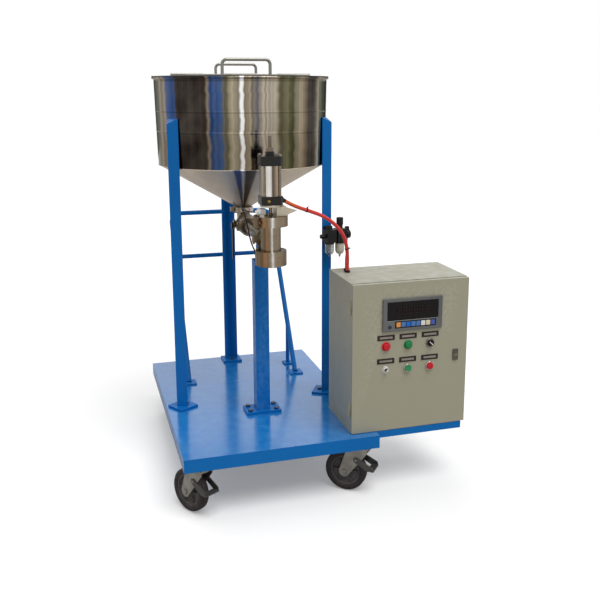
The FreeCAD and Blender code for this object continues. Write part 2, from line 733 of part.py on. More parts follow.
def build_valve_post():
    """Square post on a base plate, with a grommet hole and a cradle for the feed pipe on its cap."""
    half = S.post_side / 2
    outer = block("post_outer", "post_side", "post_side", "post_top - post_base_thick",
                  Vector(-half, -half, S.post_base_thick))
    inner = block("post_inner", "post_side - 2 * post_wall", "post_side - 2 * post_wall",
                  "post_top - post_base_thick - post_wall",
                  Vector(-half + S.post_wall, -half + S.post_wall, S.post_base_thick))
    base = block("post_base", "post_base_x", "post_base_y", "post_base_thick",
                 Vector(-S.post_base_x / 2, -S.post_base_y / 2, 0))
    holes = []
    for side in (-1, 1):
        for end in (-1, 1):
            holes.append(rod(f"post_hole_{len(holes)}", "floor_bolt_radius + hole_gap", "post_base_thick",
                             Vector(side * S.post_bolt_x / 2, end * S.post_bolt_y / 2, 0)))
    grommet = rod("post_grommet", "cable_radius + seat_gap", "post_wall",
                  Vector(CABLE_ENTRY.x, CABLE_ENTRY.y, S.post_top - S.post_wall))
    tube = cut("post_tube", outer, inner, grommet)
    upright = block("saddle_upright", "saddle_side", "saddle_side", f"{PIPE_Z} - pipe_radius - post_top",
                    Vector(-S.saddle_side / 2, -S.saddle_side / 2, S.post_top))
    cradle = rod("saddle_cradle", "pipe_radius + saddle_wall", "saddle_side",
                 Vector(0, -S.saddle_side / 2, PIPE_Z), ALONG_Y)
    saddle = joined("saddle_whole", upright, cradle)
    room = rod("saddle_room", "pipe_radius + seat_gap", "saddle_side", Vector(0, -S.saddle_side / 2, PIPE_Z),
               ALONG_Y)
    lid_room = block("saddle_open", "pipe_radius * 4", "saddle_side", "pipe_radius * 2",
                     Vector(-2 * S.pipe_radius, -S.saddle_side / 2, PIPE_Z))
    saddle_cut = cut("saddle", saddle, room, lid_room)
    post = joined("valve_post", cut("post_base_drilled", base, *holes), tube, saddle_cut)
    keep("valve_post", post, Placement(spot(S.hopper_x, S.post_y), UPRIGHT))


def build_push_handle():
    """Bent tube with a low crossbar, two props and foot plates, leaning back behind the hopper."""
    lean = math.tan(math.radians(S.rail_lean))
    top_y = S.rail_foot_y + S.rail_top_z * lean
    foot_z = S.rail_foot_thick
    foot_y = S.rail_foot_y + foot_z * lean
    corners = [spot(S.rail_left_x, foot_y, foot_z), spot(S.rail_left_x, top_y, S.rail_top_z),
               spot(S.rail_right_x, top_y, S.rail_top_z), spot(S.rail_right_x, foot_y, foot_z)]
    pieces = [swept("handle_bow", corners, S.rail_radius, S.rail_bend)]
    pieces.append(rod("handle_low_bar", "rail_radius * 0.9", "rail_right_x - rail_left_x",
                      spot(S.rail_left_x, S.rail_foot_y + S.low_bar_z * lean, S.low_bar_z), ALONG_X))
    prop_top = (S.strut_y - S.rail_foot_y) / lean
    for label, x in (("left", S.rail_left_x), ("right", S.rail_right_x)):
        half = S.rail_foot_side / 2
        pieces.append(block(f"handle_foot_{label}", "rail_foot_side", "rail_foot_side", "rail_foot_thick",
                            spot(x - half, S.rail_foot_y - half, 0)))
        pieces.append(block(f"prop_foot_{label}", "rail_foot_side * 0.75", "rail_foot_side * 0.75",
                            "rail_foot_thick", spot(x - 0.75 * half, S.strut_y - 0.75 * half, 0)))
        prop = rod(f"handle_prop_{label}", "strut_radius", "1", spot(x, S.strut_y, 0))
        prop.Height = prop_top
        prop.setExpression("Height", formula("(strut_y - rail_foot_y) / tan(rail_lean)"))
        pieces.append(prop)
    keep("push_handle", joined("push_handle", *pieces))


# Hopper and lid


def build_hopper():
    drum_place = Placement(spot(S.hopper_x, S.hopper_y, S.drum_foot_z), UPRIGHT)
    drum = turned("hopper_drum", [
        ("drum_foot_radius - drum_wall", "0"),
        ("drum_foot_radius", "0"),
        ("drum_top_radius", "drum_height - rim_thick"),
        ("rim_radius", "drum_height - rim_thick"),
        ("rim_radius", "drum_height"),
        ("drum_top_radius - drum_wall", "drum_height"),
    ], drum_place)
    keep("hopper_drum", drum)
    cone = turned("hopper_cone", [
        ("pipe_bore", "0"),
        ("flange_radius", "0"),
        ("flange_radius", "flange_thick"),
        ("pipe_radius", "flange_thick"),
        ("pipe_radius", "flange_thick + neck_height"),
        ("drum_foot_radius", "drum_foot_z - neck_z"),
        ("drum_foot_radius - drum_wall", "drum_foot_z - neck_z"),
        ("pipe_bore", "flange_thick + neck_height"),
    ], Placement(spot(S.hopper_x, S.hopper_y, S.neck_z), UPRIGHT))
    keep("hopper_cone", cone)


RIM_TOP = S.drum_foot_z + S.drum_height
HINGE_Z = S.bridge_thick + S.hinge_radius + S.seat_gap


def knuckles(name, first, edge_y, side, web_height):
    """Three hinge barrels, a knuckle_pitch apart, each with the web that ties it to its own leaf."""
    web = {"bridge": "hinge_radius + seat_gap", "lid": "hinge_radius + bridge_thick"}[web_height]
    foot = {"bridge": S.bridge_thick, "lid": S.seat_gap}[web_height]
    start = edge_y if side > 0 else edge_y - S.hinge_web
    pieces = []
    for n in range(-1, 2):
        x = n * S.knuckle_pitch + first + S.seat_gap
        pieces.append(rod(f"{name}_barrel_{n + 1}", "hinge_radius", "knuckle_length - 2 * seat_gap",
                          Vector(x, math.copysign(S.bridge_width / 2, edge_y), HINGE_Z), ALONG_X))
        pieces.append(block(f"{name}_web_{n + 1}", "knuckle_length - 2 * seat_gap", "hinge_web", web,
                            Vector(x, start, foot)))
    return pieces


def build_lid():
    """Two half discs hinged on a fixed bridge across the rim, each with a bent bar handle."""
    place = Placement(spot(S.hopper_x, S.hopper_y, RIM_TOP), Rotation(Vector(0, 0, 1), S.lid_turn))
    half_bridge = S.bridge_width / 2
    strip = block("bridge_strip", "rim_radius * 2", "bridge_width", "bridge_thick",
                  Vector(-S.rim_radius, -half_bridge, 0))
    trimmed = DOC.addObject("Part::MultiCommon", "bridge_trimmed")
    trimmed.Shapes = [strip, rod("bridge_round", "rim_radius", "bridge_thick")]
    bridge_parts = [trimmed]
    for label, side in (("front", -1), ("rear", 1)):
        y = side * half_bridge
        bridge_parts += knuckles(f"bridge_{label}", -S.knuckle_length, y, -side, "bridge")
        bridge_parts.append(rod(f"bridge_pin_{label}", "hinge_pin_radius", "2 * knuckle_pitch + 2 * knuckle_length",
                                Vector(-S.knuckle_pitch - S.knuckle_length, y, HINGE_Z), ALONG_X))
    keep("lid_bridge", joined("lid_bridge", *bridge_parts), place)
    for label, side in (("front", -1), ("rear", 1)):
        edge = half_bridge + S.seat_gap
        window = block(f"lid_window_{label}", "rim_radius * 2", "rim_radius * 2", "lid_thick",
                       Vector(-S.rim_radius, edge if side > 0 else -edge - 2 * S.rim_radius, S.seat_gap))
        leaf = DOC.addObject("Part::MultiCommon", f"lid_leaf_{label}")
        leaf.Shapes = [rod(f"lid_disc_{label}", "rim_radius", "lid_thick", Vector(0, 0, S.seat_gap)), window]
        grip_y = side * S.handle_offset
        ends = [Vector(end * S.handle_width / 2, grip_y, 0) for end in (-1, 1)]
        foot, top = S.seat_gap + S.lid_thick / 2, S.handle_height - S.handle_radius
        bar = [ends[0] + Vector(0, 0, foot), ends[0] + Vector(0, 0, top),
               ends[1] + Vector(0, 0, top), ends[1] + Vector(0, 0, foot)]
        handle = swept(f"lid_handle_{label}", bar, S.handle_radius, S.handle_bend)
        pads = [rod(f"lid_pad_{label}_{n}", "handle_radius * 2", "3", end + Vector(0, 0, S.seat_gap + S.lid_thick))
                for n, end in enumerate(ends)]
        barrels = knuckles(f"lid_{label}", 0.0, side * edge, side, "lid")
        bore = rod(f"lid_{label}_bore", "hinge_pin_radius + run_gap", "rim_radius * 2",
                   Vector(-S.rim_radius, side * half_bridge, HINGE_Z), ALONG_X)
        keep(f"lid_{label}", cut(f"lid_{label}", joined(f"lid_whole_{label}", leaf, *barrels, handle, *pads), bore),
             place)


# Feed line from the hopper's neck to the filling head


PIPE_Z = S.neck_z - S.flange_thick - S.elbow_bend
ELBOW_END = S.hopper_y - S.elbow_bend
STOP_BACK = ELBOW_END - S.flange_thick
STOP_FRONT = STOP_BACK - S.stop_valve_length
BRANCH_END = S.head_y + 66.0
CABLE_ENTRY = Vector(-18.5, -18.5, 0)
FACING_FRONT = Rotation(Vector(1, 0, 0), 90)


def flanged_pipe(name, length):
    """Straight pipe with a clamp flange at each end, along its own upright axis."""
    return turned(name, [
        ("pipe_bore", "0"),
        ("flange_radius", "0"),
        ("flange_radius", "flange_thick"),
        ("pipe_radius", "flange_thick"),
        ("pipe_radius", f"{length} - flange_thick"),
        ("flange_radius", f"{length} - flange_thick"),
        ("flange_radius", length),
        ("pipe_bore", length),
    ])


def build_feed_pipes():
    """Elbow under the hopper and the straight pipe to the filling head."""
    top = spot(S.hopper_x, S.hopper_y, S.neck_z - S.flange_thick)
    bend_end = spot(S.hopper_x, ELBOW_END, PIPE_Z)
    middle = spot(S.hopper_x, S.hopper_y - S.elbow_bend * (1 - math.cos(math.pi / 4)),
                  PIPE_Z + S.elbow_bend * (1 - math.sin(math.pi / 4)))
    arc = Part.Wire([Part.Arc(top, middle, bend_end).toShape()])
    walls = []
    for radius in (S.pipe_radius, S.pipe_bore):
        circle = Part.Wire([Part.Circle(top, Vector(0, 0, -1), radius).toShape()])
        walls.append(arc.makePipeShell([circle], True, False))
    bend = shaped("elbow_bend", walls[0].cut(walls[1]))
    flange_top = turned("elbow_flange_top", [
        ("pipe_bore", "0"), ("flange_radius", "0"), ("flange_radius", "flange_thick"), ("pipe_bore", "flange_thick"),
    ], Placement(top, UPRIGHT))
    flange_end = turned("elbow_flange_end", [
        ("pipe_bore", "0"), ("flange_radius", "0"), ("flange_radius", "flange_thick"), ("pipe_bore", "flange_thick"),
    ], Placement(bend_end, FACING_FRONT))
    elbow = joined("feed_elbow", bend, flange_top, flange_end)
    straight = flanged_pipe("feed_straight",
                            "hopper_y - elbow_bend - flange_thick - stop_valve_length - head_y - 66")
    straight.Placement = Placement(spot(S.hopper_x, STOP_FRONT, PIPE_Z), FACING_FRONT)
    keep("feed_pipes", group("feed_pipes", [elbow, straight]))


def build_stop_valve():
    """Ball valve in the feed line; at rest its lever hangs down and the ball is shut."""
    housing = turned("stop_housing", [
        ("pipe_bore", "0"),
        ("flange_radius", "0"),
        ("flange_radius", "flange_thick"),
        ("pipe_radius + 2", "flange_thick"),
        ("pipe_radius + 2", "flange_thick + 4"),
        ("stop_valve_radius", "flange_thick + 10"),
        ("stop_valve_radius", "stop_valve_length - flange_thick - 10"),
        ("pipe_radius + 2", "stop_valve_length - flange_thick - 4"),
        ("pipe_radius + 2", "stop_valve_length - flange_thick"),
        ("flange_radius", "stop_valve_length - flange_thick"),
        ("flange_radius", "stop_valve_length"),
        ("pipe_bore", "stop_valve_length"),
    ])
    gland = rod("stop_gland", "stem_radius * 1.9", "stop_valve_radius + 6",
                Vector(0, 0, S.stop_valve_length / 2), Rotation(Vector(0, 1, 0), -90))
    cavity = DOC.addObject("Part::Sphere", "stop_cavity")
    bind(cavity, Radius="stop_ball_radius + seat_gap")
    cavity.Placement = Placement(Vector(0, 0, S.stop_valve_length / 2), UPRIGHT)
    bore = rod("stop_bore", "pipe_bore", "stop_valve_length")
    stem_bore = rod("stop_stem_bore", "stem_radius + run_gap", "stop_valve_radius + 7",
                    Vector(0, 0, S.stop_valve_length / 2), Rotation(Vector(0, 1, 0), -90))
    body = cut("outlet_valve_body", joined("stop_whole", housing, gland), cavity, bore, stem_bore)
    place = Placement(spot(S.hopper_x, STOP_BACK, PIPE_Z), FACING_FRONT)
    keep("outlet_valve_body", body, place)
    centre = spot(S.hopper_x, STOP_BACK - S.stop_valve_length / 2, PIPE_Z)
    sphere = DOC.addObject("Part::Sphere", "stop_sphere")
    bind(sphere, Radius="stop_ball_radius")
    passage = rod("stop_passage", "pipe_bore", "stop_ball_radius * 2", Vector(0, 0, -S.stop_ball_radius))
    bored = cut("stop_bored", sphere, passage)
    stem = rod("stop_stem", "stem_radius", "lever_offset - pipe_bore - 3", Vector(-S.pipe_bore - 3, 0, 0),
               Rotation(Vector(0, 1, 0), -90))
    keep("outlet_ball", joined("outlet_ball", bored, stem), Placement(centre, UPRIGHT))
    hub = rod("lever_hub", "lever_width * 0.75", "lever_thick + 3", Vector(-S.lever_offset, 0, 0),
              Rotation(Vector(0, 1, 0), -90))
    strap = block("lever_strap", "lever_thick", "lever_width", "lever_length",
                  Vector(-S.lever_offset - S.lever_thick, -S.lever_width / 2, -S.lever_length))
    keep("outlet_lever", joined("outlet_lever", hub, strap), Placement(centre, UPRIGHT))


def clamp_ring(name, outer, inner, width, place):
    """Hinged pipe clamp closed by a wing nut, about its own upright axis."""
    ring = turned(f"{name}_ring", [(f"{inner} + seat_gap", "0"), (outer, "0"), (outer, width),
                                   (f"{inner} + seat_gap", width)])
    lug = block(f"{name}_lug", "lug_width", "lug_width * 1.6", width, Vector())
    radius = {"clamp_radius": S.clamp_radius, "low_clamp_radius": S.low_clamp_radius,
              "high_clamp_radius": S.high_clamp_radius}[outer]
    lug.Placement = Placement(Vector(-radius - S.lug_height, -0.8 * S.lug_width, 0), UPRIGHT)
    lug.setExpression("Length", formula("lug_height + 2"))
    span = {"clamp_width": S.clamp_width, "low_clamp_width": S.low_clamp_width,
            "high_clamp_width": S.high_clamp_width}[width]
    screw = rod(f"{name}_screw", "wing_radius", "wing_length",
                Vector(-radius - S.lug_height * 0.55, -S.wing_length / 2, span / 2), ALONG_Y)
    clamp = joined(name, ring, lug, screw)
    clamp.Placement = place
    return clamp


def build_clamps():
    """Clamps of the whole product line, one group of separate rings."""
    half = S.clamp_width / 2
    axis_y = [ELBOW_END - S.flange_thick, STOP_FRONT, BRANCH_END]
    clamps = [clamp_ring("clamp_neck", "clamp_radius", "flange_radius", "clamp_width",
                         Placement(spot(S.hopper_x, S.hopper_y, S.neck_z - half), UPRIGHT))]
    for n, y in enumerate(axis_y):
        clamps.append(clamp_ring(f"clamp_line_{n}", "clamp_radius", "flange_radius", "clamp_width",
                                 Placement(spot(S.hopper_x, y + half, PIPE_Z), FACING_FRONT)))
    low = spot(S.hopper_x, S.head_y, BODY_FOOT - S.low_clamp_drop)
    clamps.append(clamp_ring("clamp_low", "low_clamp_radius", "body_flange_low", "low_clamp_width",
                             Placement(low, Rotation(Vector(0, 0, 1), -60))))
    high = spot(S.hopper_x, S.head_y, BODY_TOP - S.high_clamp_width / 2)
    clamps.append(clamp_ring("clamp_high", "high_clamp_radius", "body_flange_high", "high_clamp_width",
                             Placement(high, Rotation(Vector(0, 0, 1), 30))))
    keep("line_clamps", group("line_clamps", clamps))


# Filling head


BODY_FOOT = S.outlet_z + S.nozzle_height
BODY_TOP = BODY_FOOT + S.body_length
YOKE_TOP = BODY_TOP + S.yoke_disc_thick + S.yoke_height
LOW_HEAD_TOP = YOKE_TOP + S.low_head_height
BARREL_TOP = LOW_HEAD_TOP + S.barrel_length
HIGH_HEAD_TOP = BARREL_TOP + S.high_head_height


def head_spot(z):
    return spot(S.hopper_x, S.head_y, z)


def build_filling_body():
    tube = turned("body_tube", [
        ("body_bore", "0"),
        ("body_flange_low", "0"),
        ("body_flange_low", "body_flange_thick"),
        ("body_radius", "body_flange_thick"),
        ("body_radius", "body_length - body_flange_thick"),
        ("body_flange_high", "body_length - body_flange_thick"),
        ("body_flange_high", "body_length"),
        ("body_bore", "body_length"),
    ], Placement(head_spot(BODY_FOOT), UPRIGHT))
    branch = rod("body_branch", "pipe_radius", "66", spot(S.hopper_x, S.head_y, PIPE_Z), ALONG_Y)
    branch_flange = rod("body_branch_flange", "flange_radius", "flange_thick",
                        spot(S.hopper_x, BRANCH_END - S.flange_thick, PIPE_Z), ALONG_Y)
    branch_bore = rod("body_branch_bore", "pipe_bore", "66", spot(S.hopper_x, S.head_y, PIPE_Z), ALONG_Y)
    clear = rod("body_clear", "body_bore", "body_length", head_spot(BODY_FOOT))
    keep("filling_body", cut("filling_body", joined("body_whole", tube, branch, branch_flange), branch_bore, clear))
    nozzle = turned("outlet_nozzle", [
        ("nozzle_bore", "0"),
        ("nozzle_tip_radius", "0"),
        ("nozzle_radius", "nozzle_tip_height"),
        ("nozzle_radius", "nozzle_height"),
        ("body_bore", "nozzle_height"),
        ("body_bore", "nozzle_height - 6"),
        ("nozzle_bore", "nozzle_height - 16"),
    ], Placement(head_spot(S.outlet_z), UPRIGHT))
    keep("outlet_nozzle", nozzle)


def build_yoke():
    """Open spacer between the body and the cylinder, with the web on its right."""
    low_disc = rod("yoke_low_disc", "body_flange_high", "yoke_disc_thick")
    high_disc = rod("yoke_high_disc", "head_side / 2", "yoke_disc_thick",
                    Vector(0, 0, S.yoke_height))
    shoulder = S.high_clamp_width / 2 + 1.0
    foot = block("yoke_web_foot", "yoke_web_x - 8", "yoke_web_y - 12", "high_clamp_width / 2 + 1",
                 Vector(S.yoke_web_offset, -S.yoke_web_y / 2 + 6, 1))
    web = block("yoke_web", "yoke_web_x", "yoke_web_y", "yoke_height - high_clamp_width / 2",
                Vector(S.yoke_web_offset, -S.yoke_web_y / 2, shoulder))
    wing = plate("yoke_wing", [
        ("yoke_web_offset + yoke_web_x", "high_clamp_width / 2 + 3"),
        ("yoke_web_offset + yoke_web_x + 38", "yoke_disc_thick + 28"),
        ("yoke_web_offset + yoke_web_x", "yoke_disc_thick + 40"),
        ("yoke_web_offset + 10", "yoke_disc_thick + 40"),
        ("yoke_web_offset + 10", "high_clamp_width / 2 + 3"),
    ], "3", Placement(Vector(0, -S.yoke_web_y / 2 + 3, 0), UPRIGHT))
    whole = joined("yoke_whole", low_disc, high_disc, foot, web, wing)
    bore = rod("yoke_bore", "rod_radius + run_gap", "yoke_height + 2 * yoke_disc_thick")
    keep("yoke", cut("yoke", whole, bore), Placement(head_spot(BODY_TOP), UPRIGHT))


def square_head(name, height, foot):
    """Square cylinder end cap with cut corners, bored for the rod."""
    half = "head_side / 2"
    short = "head_side / 2 - head_chamfer"
    body = DOC.addObject("PartDesign::Body", name)
    points = [(short, f"-({half})"), (half, f"-({short})"), (half, short), (short, half),
              (f"-({short})", half), (f"-({half})", short), (f"-({half})", f"-({short})"),
              (f"-({short})", f"-({half})")]
    sketch = outline(body, name + "_outline", "XY_Plane", points)
    pad = body.newObject("PartDesign::Pad", name + "_pad")
    pad.Profile = sketch
    bind(pad, Length=height)
    tools = [rod(f"{name}_bore", "rod_radius + run_gap", f"{height} + 20", Vector(0, 0, -1))]
    for n in range(4):
        corner = Rotation(Vector(0, 0, 1), 90 * n).multVec(Vector(S.tie_offset, S.tie_offset, 0))
        tools.append(rod(f"{name}_tie_{n}", "tie_radius + seat_gap", height, corner))
    return body, tools, foot


def build_cylinder():
    body, tools, _ = square_head("low_head", "low_head_height", YOKE_TOP)
    low = cut("low_head_bored", body, *tools)
    low.Placement = Placement(head_spot(YOKE_TOP), UPRIGHT)
    body, tools, _ = square_head("high_head", "high_head_height", BARREL_TOP)
    gland = rod("rod_gland", "gland_radius", "gland_height", Vector(0, 0, S.high_head_height))
    high = cut("high_head_bored", joined("high_head_gland", body, gland), *tools)
    high.Placement = Placement(head_spot(BARREL_TOP), UPRIGHT)
    keep("cylinder_heads", group("cylinder_heads", [low, high]))
    barrel = turned("cylinder_barrel", [
        ("barrel_bore", "0"), ("barrel_radius", "0"), ("barrel_radius", "barrel_length"),
        ("barrel_bore", "barrel_length"),
    ], Placement(head_spot(LOW_HEAD_TOP), UPRIGHT))
    keep("cylinder_barrel", barrel)
    ties = []
    for n in range(4):
        corner = Rotation(Vector(0, 0, 1), 90 * n).multVec(Vector(S.tie_offset, S.tie_offset, 0))
        bar = rod(f"tie_bar_{n}", "tie_radius",
                  "low_head_height + barrel_length + high_head_height + tie_nut_height + 2", corner)
        nut = hexagon(f"tie_nut_{n}", "tie_nut_radius", "tie_nut_height",
                      corner + Vector(0, 0, HIGH_HEAD_TOP - YOKE_TOP))
        ties.append(joined(f"tie_{n}", bar, nut))
    keep("tie_rods", group("tie_rods", ties), Placement(head_spot(YOKE_TOP), UPRIGHT))


def build_plunger():
    """Plug on the outlet seat, rod, piston and the stop nut on the tail, in one moving piece."""
    plug_foot = S.nozzle_height - 16 + S.seat_gap * (1 + math.sqrt(2))
    piston_foot = LOW_HEAD_TOP - S.outlet_z + S.piston_lift
    nut_foot = HIGH_HEAD_TOP + S.gland_height + S.seat_gap - S.outlet_z
    tail_top = HIGH_HEAD_TOP + S.gland_height + S.rod_tail - S.outlet_z
    plug = turned("plunger_plug", [
        ("0", "0"), ("nozzle_bore + seat_gap", "0"), ("plug_radius", "plug_radius - nozzle_bore - seat_gap"),
        ("plug_radius", "plug_height"), ("rod_radius", "plug_height + 8"), ("0", "plug_height + 8"),
    ], Placement(Vector(0, 0, plug_foot), UPRIGHT))
    spine = rod("plunger_rod", "rod_radius", "1", Vector(0, 0, plug_foot + 2))
    spine.setExpression("Height", None)
    spine.Height = tail_top - plug_foot - 2
    piston = rod("plunger_piston", "barrel_bore - run_gap", "piston_height", Vector(0, 0, piston_foot))
    nut = hexagon("plunger_nut", "stop_nut_radius", "stop_nut_height", Vector(0, 0, nut_foot))
    keep("valve_plunger", joined("valve_plunger", plug, spine, piston, nut),
         Placement(head_spot(S.outlet_z), UPRIGHT))


SENSOR_Z = BODY_TOP + S.yoke_disc_thick + 24.0
SENSOR_X = S.hopper_x - S.rod_radius - 13.0
CABLE_START_X = SENSOR_X - S.sensor_length - S.sensor_stub
FITTING_Z = YOKE_TOP + S.low_head_height / 2
HOSE_SLOPE = math.radians(S.fitting_slope)
HOSE_START = Vector(S.hopper_x + S.head_side / 2 + 4 + S.fitting_length * math.cos(HOSE_SLOPE), S.head_y,
                    FITTING_Z - S.fitting_length * math.sin(HOSE_SLOPE))
HOSE_END_X = 632.0
HOSE_END_Y = 222.0


def build_sensor():
    """Position sensor in the open side of the yoke, on a foot that stands on the yoke's lower disc."""
    leftwards = Rotation(Vector(0, 1, 0), -90)
    centre = spot(SENSOR_X, S.head_y, SENSOR_Z)
    cap = rod("sensor_cap", "sensor_radius", "sensor_length", centre, leftwards)
    stub = rod("sensor_collar", "cable_radius + 2", "sensor_stub", centre - Vector(S.sensor_length, 0, 0), leftwards)
    disc_top = BODY_TOP + S.yoke_disc_thick
    foot = block("sensor_foot", "sensor_foot", "sensor_foot", "1",
                 spot(SENSOR_X - S.sensor_foot - 4, S.head_y - S.sensor_foot / 2, disc_top))
    foot.setExpression("Height", None)
    foot.Height = SENSOR_Z - disc_top
    keep("position_sensor", joined("position_sensor", cap, stub, foot))


def build_fittings():
    """Air fitting on the cylinder and the cable glands on the control box, one group."""
    start = spot(S.hopper_x + S.head_side / 2, S.head_y, FITTING_Z)
    stub = rod("fitting_stub", "fitting_radius * 0.9", "fitting_length", start + Vector(4, 0, 0),
               Rotation(Vector(0, 1, 0), 90 + S.fitting_slope))
    collar = hexagon("fitting_collar", "fitting_radius * 1.3", "8", start, ALONG_X)
    fittings = [joined("air_fitting", stub, collar)]
    glands = [("hose_gland", "hose_radius", HOSE_END_X, HOSE_END_Y), ("tube_gland", "tube_radius",
                                                                    TUBE_END_X, TUBE_END_Y)]
    for name, radius, x, y in glands:
        nut = hexagon(f"{name}_nut", f"{radius} + 4.5", "gland_nut_height", spot(x, y, S.box_height))
        bore = rod(f"{name}_bore", f"{radius} + seat_gap", "gland_nut_height", spot(x, y, S.box_height))
        fittings.append(cut(name, nut, bore))
    keep("air_fittings", group("air_fittings", fittings))


# Air preparation unit, in its own frame: +X along the leg's front flange, -Y outwards


UNIT_TURN = 15.0
TUBE_END_X = 634.0
TUBE_END_Y = 246.0


def unit_place():
    """Middle of the outer face of the right leg's front flange, at the unit's height."""
    x, y = around_hopper(LEG_RADIUS, FOOT_ANGLES["right"])
    along = Vector(math.cos(math.radians(UNIT_TURN)), math.sin(math.radians(UNIT_TURN)), 0)
    middle = Vector(x, y, 0) - along * (S.leg_side / 2)
    return Placement(spot(middle.x, middle.y, S.unit_z), Rotation(Vector(0, 0, 1), UNIT_TURN))


def build_air_unit():
    place = unit_place()
    pitch = (S.module_side + S.module_spacing) / 2
    centres = {"lubricator": S.unit_shift - pitch, "regulator": S.unit_shift + pitch}
    depth = -S.unit_reach
    leaf = block("bracket_leaf", "bracket_side", "bracket_thick", "bracket_height",
                 Vector(-S.bracket_side / 2, -S.bracket_thick, -S.bracket_height / 2))
    arm = block("bracket_arm", "module_spacing - 2 * seat_gap", "unit_reach", "module_height * 0.7",
                Vector(S.unit_shift - S.module_spacing / 2 + S.seat_gap, -S.unit_reach, -0.35 * S.module_height))
    keep("unit_bracket", joined("unit_bracket", leaf, arm), place)
    bodies = []
    for label, x in centres.items():
        case = block(f"{label}_case", "module_side", "module_side", "module_height",
                     Vector(x - S.module_side / 2, depth - S.module_side / 2, -S.module_height / 2))
        top = rod(f"{label}_bonnet", "bonnet_radius", "bonnet_height",
                  Vector(x, depth, S.module_height / 2))
        bodies.append(joined(f"{label}_body", case, top))
    outlet = rod("lubricator_outlet", "fitting_radius", "fitting_length * 1.6",
                 Vector(centres["lubricator"] - S.module_side / 2, depth, 0), Rotation(Vector(0, 1, 0), -90))
    bodies.append(outlet)
    bowls = []
    for label, x in centres.items():
        bowl = turned(f"{label}_bowl", [
            ("bowl_radius - bowl_wall", "0"),
            ("bowl_radius", "0"),
            ("bowl_radius", "-bowl_height + 10"),
            ("bowl_radius - 6", "-bowl_height"),
            ("0", "-bowl_height"),
            ("0", "-bowl_height + bowl_wall"),
            ("bowl_radius - 7", "-bowl_height + bowl_wall"),
            ("bowl_radius - bowl_wall", "-bowl_height + 11"),
        ], Placement(Vector(x, depth, -S.module_height / 2), UPRIGHT))
        if label == "regulator":
            drain = rod("regulator_drain", "3.5", "14", Vector(x, depth, -S.module_height / 2 - S.bowl_height - 13))
            bowl = joined("regulator_bowl_drained", bowl, drain)
        bowls.append(bowl)
    keep("unit_bowls", group("unit_bowls", bowls), place)
    x = centres["regulator"]
    knob_foot = S.module_height / 2 + S.bonnet_height + S.seat_gap
    knob = rod("regulator_knob", "knob_radius", "knob_height", Vector())
    keep("regulator_knob", knob, place * Placement(Vector(x, depth, knob_foot), UPRIGHT))
    disc = rod("coupling_disc", "coupling_radius", "coupling_length",
               Vector(x + S.module_side / 2 + 5, depth, 0), ALONG_X)
    neck = rod("coupling_neck", "fitting_radius", "5", Vector(x + S.module_side / 2, depth, 0), ALONG_X)
    port = rod("coupling_port", "port_radius", "coupling_length * 0.8",
               Vector(x + S.module_side / 2 + 5 + S.coupling_length * 0.2, depth, 0), ALONG_X)
    cap = block("coupling_cap", "coupling_length * 0.8", "coupling_length * 0.8", "14",
                Vector(x + S.module_side / 2 + 6.5, depth - S.coupling_length * 0.4, S.coupling_radius - 2))
    bodies.append(cut("inlet_coupling", joined("coupling_whole", disc, neck, cap), port))
    keep("unit_bodies", group("unit_bodies", bodies), place)


# Control box


DOOR_FRONT = S.box_y
DOOR_BACK = S.box_y + S.door_depth
BOX_FRONT = DOOR_BACK + S.door_gap
HINGE_X = S.box_x - S.hinge_barrel - S.seat_gap


def door_spot(x, z, proud=0.0):
    """Place on the door's front face, from its lower left corner; proud stands out towards the front."""
    return spot(S.box_x + x, DOOR_FRONT - proud, z)


CONTROLS = {
    "stop": ("column_left", "row_high"),
    "start": ("column_mid", "row_high"),
    "fill": ("column_mid", "row_low"),
    "reset": ("column_right", "row_low"),
    "selector": ("column_right", "row_high"),
    "toggle": ("column_left", "row_low"),
}


def control_spot(name, proud=0.0):
    column, level = CONTROLS[name]
    return door_spot(getattr(S, column), getattr(S, level), proud)


def build_box_body():
    depth = "box_depth - door_depth - door_gap"
    outer = block("box_outer", "box_width", depth, "box_height", spot(S.box_x, BOX_FRONT, 0))
    inner = block("box_inner", "box_width - 2 * box_sheet", f"{depth} - box_sheet", "box_height - 2 * box_sheet",
                  spot(S.box_x + S.box_sheet, BOX_FRONT, S.box_sheet))
    holes = [rod("box_hose_hole", "hose_radius + seat_gap", "box_sheet",
                 spot(HOSE_END_X, HOSE_END_Y, S.box_height - S.box_sheet)),
             rod("box_tube_hole", "tube_radius + seat_gap", "box_sheet",
                 spot(TUBE_END_X, TUBE_END_Y, S.box_height - S.box_sheet))]
    shell = cut("box_shell", outer, inner, *holes)
    pieces = [shell]
    for n, z in enumerate((S.hinge_drop, S.box_height - S.hinge_drop - S.hinge_length)):
        pieces.append(rod(f"hinge_pin_{n}", "hinge_core", "hinge_length", spot(HINGE_X, DOOR_BACK, z)))
        pieces.append(rod(f"hinge_barrel_{n}", "hinge_barrel", "hinge_length / 2 - seat_gap",
                          spot(HINGE_X, DOOR_BACK, z)))
        pieces.append(block(f"hinge_leaf_{n}", "box_sheet", "16", "hinge_length / 2 - seat_gap",
                            spot(S.box_x - S.box_sheet, DOOR_BACK + 1.0, z)))
        pieces.append(block(f"hinge_web_{n}", "hinge_barrel + seat_gap", "hinge_barrel", "hinge_length / 2 - seat_gap",
                            spot(HINGE_X, DOOR_BACK, z)))
    keep("box_body", joined("box_body", *pieces))


